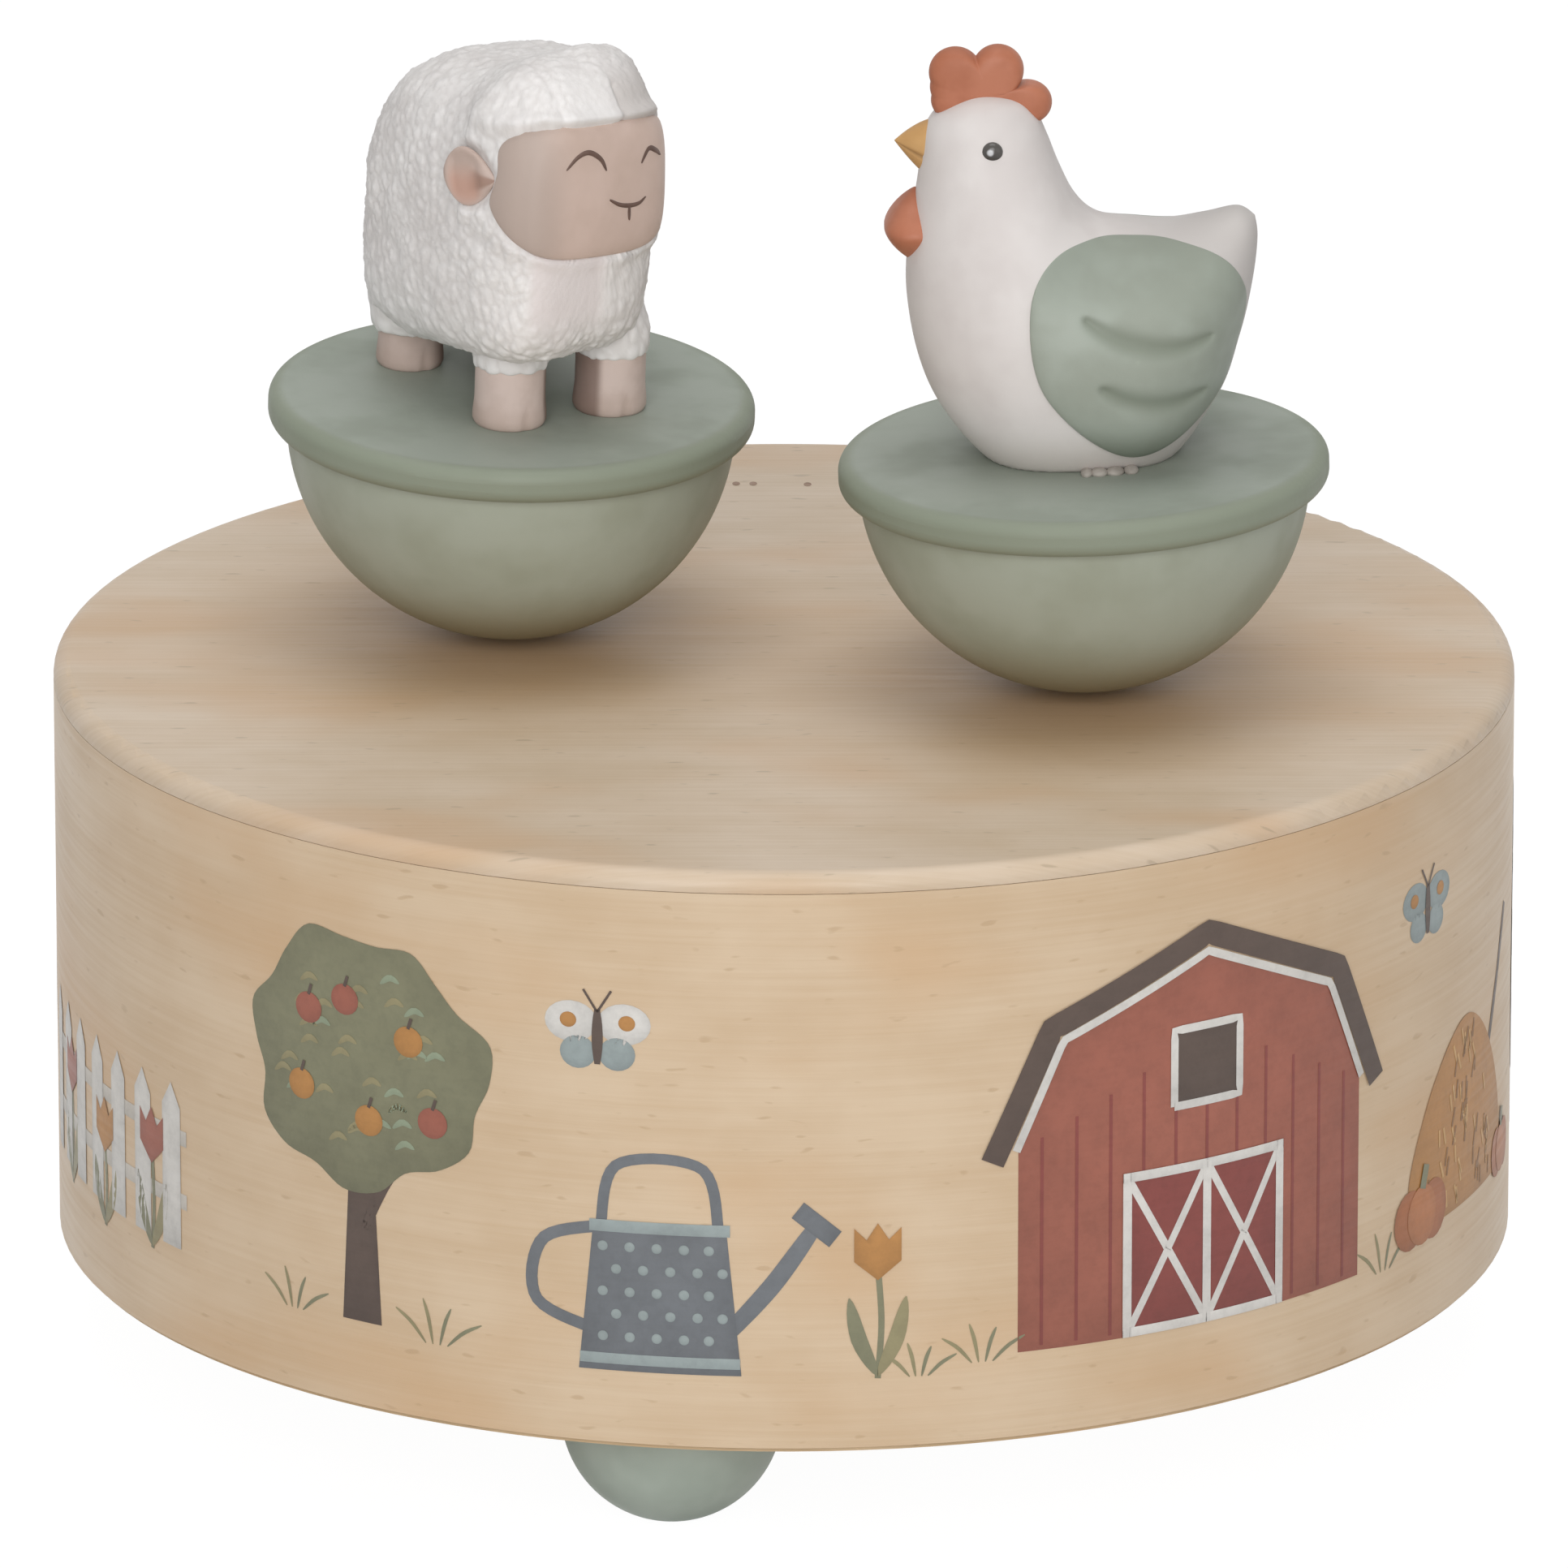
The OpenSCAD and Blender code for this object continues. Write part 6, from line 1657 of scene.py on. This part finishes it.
def butterfly(u, v, size, card):
    """Four wings and a thin body with feelers."""
    at, inks = placed(u, v, size), []
    for side in (-1, 1):
        for x, y, wide, high, ink, layer in (
                (0.95, 0.5, 0.95, 0.75, card, 1), (0.7, -0.6, 0.65, 0.6, PALE_BLUE, 1),
                (1.05, 0.55, 0.3, 0.28, OCHRE, 2)):
            inks.append(patch(oval(u + side * x * size, v + y * size, wide * size, high * size), ink, layer))
        inks.append(line(at([(0, 0.9), (side * 0.5, 1.7)]), 0.2, BROWN, 3))
    return inks + [brush(at([(0, -1.0), (0, 1.0)]), 0.4 * size, BROWN, 3, curved=False, taper=0.5)]


print("grass:", len(grass(0, 0, 3)), "sheets, butterfly:", len(butterfly(0, 0, 2, WHITE)))

# %% [markdown]
# ### Front of the frieze
# The big motifs stand on a ground line that rises and falls a little, and the small ones fill the gaps.

# %% Front of the frieze
print_motif("print_fence", fence(-86, 8.5, 7))
print_motif(
    "print_fence_tulips",
    tulip(-80, 7.2, 9, RUST) + tulip(-70.5, 6.6, 7.5, OCHRE) + tulip(-61.5, 7.4, 8.5, RUST))
print_motif("print_fruit_tree", fruit_tree(-36, 7.5) + grass(-43, 7.2, 3) + grass(-29, 6.8, 3.4))
print_motif(
    "print_watering_can", watering_can(-10, 6.5) + tulip(7.5, 6.2, 9.5, OCHRE) + grass(10.8, 6.2, 2.6))
print_motif("print_barn", barn(36, 7.5) + grass(16, 7.0, 3) + grass(56.5, 6.8, 3.2))
print_motif("print_haystack", haystack(71, 8.5) + pumpkin(62.5, 7.4, 3.2) + pumpkin(82, 7.6, 2.6))
print_motif("print_butterflies", butterfly(-15, 34.5, 2.3, WHITE) + butterfly(63, 36, 2.1, PALE_BLUE))

# %% [markdown]
# ### Windmill and sheaves
# The back of the drum isn't seen in the picture, and the frieze simply goes on there. The windmill's sails
# are drawn from its hub, along the arm and to one side of it; a sheaf is a fan of stalks with a band.

# %% Windmill and sheaves
CANVAS, STALK = "#C5A079", "#B08A50"


def windmill(u, v):
    """A white tower with a brown cap and four lattice sails."""
    at, hub = placed(u, v), np.array([u, v + 22.5])
    cap = [(-4.4, 21.5), (-3.6, 25), (0, 27.2), (3.6, 25), (4.4, 21.5)]
    inks = [patch(corner_path(at(tapered(0, 22, 6, 3.8))), WHITE, 1)]
    inks.append(patch(round_path(at(cap), 60), BROWN, 2))
    inks.append(patch(corner_path(at(tapered(0, 5.2, 1.7, 1.7))), DARK_RUST, 2))
    inks.append(patch(oval(u, v + 13, 1.3, 1.5), SLATE, 2))
    for k in range(4):
        a = math.radians(24 + 90 * k)
        way, side = np.array([math.cos(a), math.sin(a)]), 3 * np.array([-math.sin(a), math.cos(a)])
        near, far = hub + 4 * way, hub + 13.5 * way
        inks.append(line([hub, hub + 14 * way], 0.6, BROWN, 5))
        inks.append(patch(corner_path([near, far, far + side, near + side]), CANVAS, 4))
        inks += [line([hub + d * way, hub + d * way + side], 0.28, BROWN, 5) for d in (5.8, 7.8, 9.8, 11.8)]
    return inks


def sheaf(u, v):
    """Wheat tied in the middle: a fan of stalks with ears and a rust band."""
    inks = []
    for lean in np.linspace(-1, 1, 9):
        path = [(u + 3.4 * lean, v), (u + 0.9 * lean, v + 6.5), (u + 5.2 * lean, v + 15.5 - 2 * lean * lean)]
        inks.append(brush(path, 0.5, STALK, 1))
        inks.append(patch(oval(path[2][0], path[2][1] + 1.6, 0.75, 1.9), OCHRE, 2))
    return inks + [line([(u - 2.0, v + 6.5), (u + 2.0, v + 6.5)], 1.4, RUST, 3)]


print("windmill:", len(windmill(0, 0)), "sheets, sheaf:", len(sheaf(0, 0)))

# %% [markdown]
# ### Toadstools and a basket
# Two more motifs for the back: a cap with spots, and a basket whose weave is two sets of thin lines.

# %% Toadstools and basket
WICKER, WEAVE = "#A98458", "#7A5B3A"


def toadstool(u, v, size):
    """A pale stalk and a rust cap with pale spots."""
    at = placed(u, v, size)
    cap = [(-2.3, 2.2), (-1.8, 3.6), (0, 4.5), (1.8, 3.6), (2.3, 2.2), (0, 1.9)]
    inks = [patch(corner_path(at(tapered(0, 2.4, 0.7, 0.5))), WHITE, 1)]
    inks.append(patch(round_path(at(cap), 70), RUST, 2))
    for x, y, r in ((-1.1, 3.0, 0.28), (0.1, 3.7, 0.32), (1.1, 2.9, 0.26)):
        inks.append(patch(oval(u + x * size, v + y * size, r * size, r * size), WHITE, 3))
    return inks


def basket(u, v):
    """A woven basket heaped with fruit under a hooped handle."""
    at = placed(u, v)
    heap = ((-3.8, 8.6, RUST), (0, 9.6, OCHRE), (3.8, 8.6, RUST), (-1.9, 9.0, DARK_RUST), (2.0, 9.2, OCHRE))
    inks = [brush(at([(-6, 7), (-4.5, 15), (4.5, 15), (6, 7)]), 0.9, BROWN, 1)]
    inks += [patch(oval(u + x, v + y, 2.1, 2.0), card, 2) for x, y, card in heap]
    inks.append(patch(corner_path(at(tapered(0, 8, 5.2, 6.8))), WICKER, 3))
    for k in range(5):
        wide, high = 5.4 + 0.2 * k, 1.2 + 1.5 * k
        inks.append(line(at([(-wide, high), (wide, high)]), 0.35, WEAVE, 4))
    for x in np.arange(-5, 5.1, 1.25):
        inks.append(line(at([(0.84 * x, 0.2), (1.08 * x, 7.8)]), 0.3, WEAVE, 4))
    return inks


print("toadstool:", len(toadstool(0, 0, 2)), "sheets, basket:", len(basket(0, 0)))

# %% [markdown]
# ### Back of the frieze
# The same rules as in front, with a second fence and trees where the two halves meet.

# %% Back of the frieze
print_motif(
    "print_poplars", poplar(93.5, 8, 30) + poplar(101, 7.6, 25) + poplar(-97, 8, 27) + grass(106, 7, 3))
print_motif("print_windmill", windmill(124, 8) + grass(114.5, 7.2, 3) + grass(134, 7, 3.2))
print_motif("print_sheaves", sheaf(146, 7.5) + sheaf(157.5, 7) + butterfly(152, 34, 2.1, WHITE))
print_motif("print_back_fence", fence(-187, 8, 5) + tulip(-183, 6.8, 8, RUST) + tulip(-172, 7, 8.5, OCHRE))
print_motif(
    "print_toadstools",
    toadstool(-157, 7, 2.1) + toadstool(-149.5, 7.2, 1.4) + toadstool(172, 7, 1.7) + grass(-144, 7, 3))
print_motif(
    "print_basket",
    basket(-130, 7.2) + pumpkin(-117.5, 7, 3) + grass(-111, 7, 3.2) + butterfly(-124, 34, 2.2, PALE_BLUE))

# %% [markdown]
# ## Pin marks
# Three small brown marks lie near the back of the top, where pins held the board while it was turned. They
# are stained wood, flat in the surface, so each is a small oval sheet like the ink.

# %% Pin marks
TOP_Z, PIN_LIFT, PIN_WIDE, PIN_LONG = 59.2, 0.02, 0.33, 0.55
PINS = [(-4.04, 47.1), (-2.6, 47.1), (1.99, 46.9)]


def pin_mark(x, y):
    """An oval filled by four rings, a hair above the board."""
    places, _, quads, fan = filled(oval(x, y, PIN_WIDE, PIN_LONG), np.array([x, y]), 4)
    return np.column_stack([places, np.full(len(places), TOP_Z + PIN_LIFT)]), quads, fan


stain = painted_look("pin_stain", "#93745B", "#836550", clouds=900, dull=0.5)
make_piece("top_pin_marks", [pin_mark(x, y) for x, y in PINS], "casing", stain)

# %% [markdown]
# ## Size and finish
# The dressed toy should be as large as the CAD model, but for the curls and the ink. Both boxes are kept.

# %% Size and finish
visual_box = [list(corner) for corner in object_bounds()]
print("visual box in mm:", in_mm(visual_box))
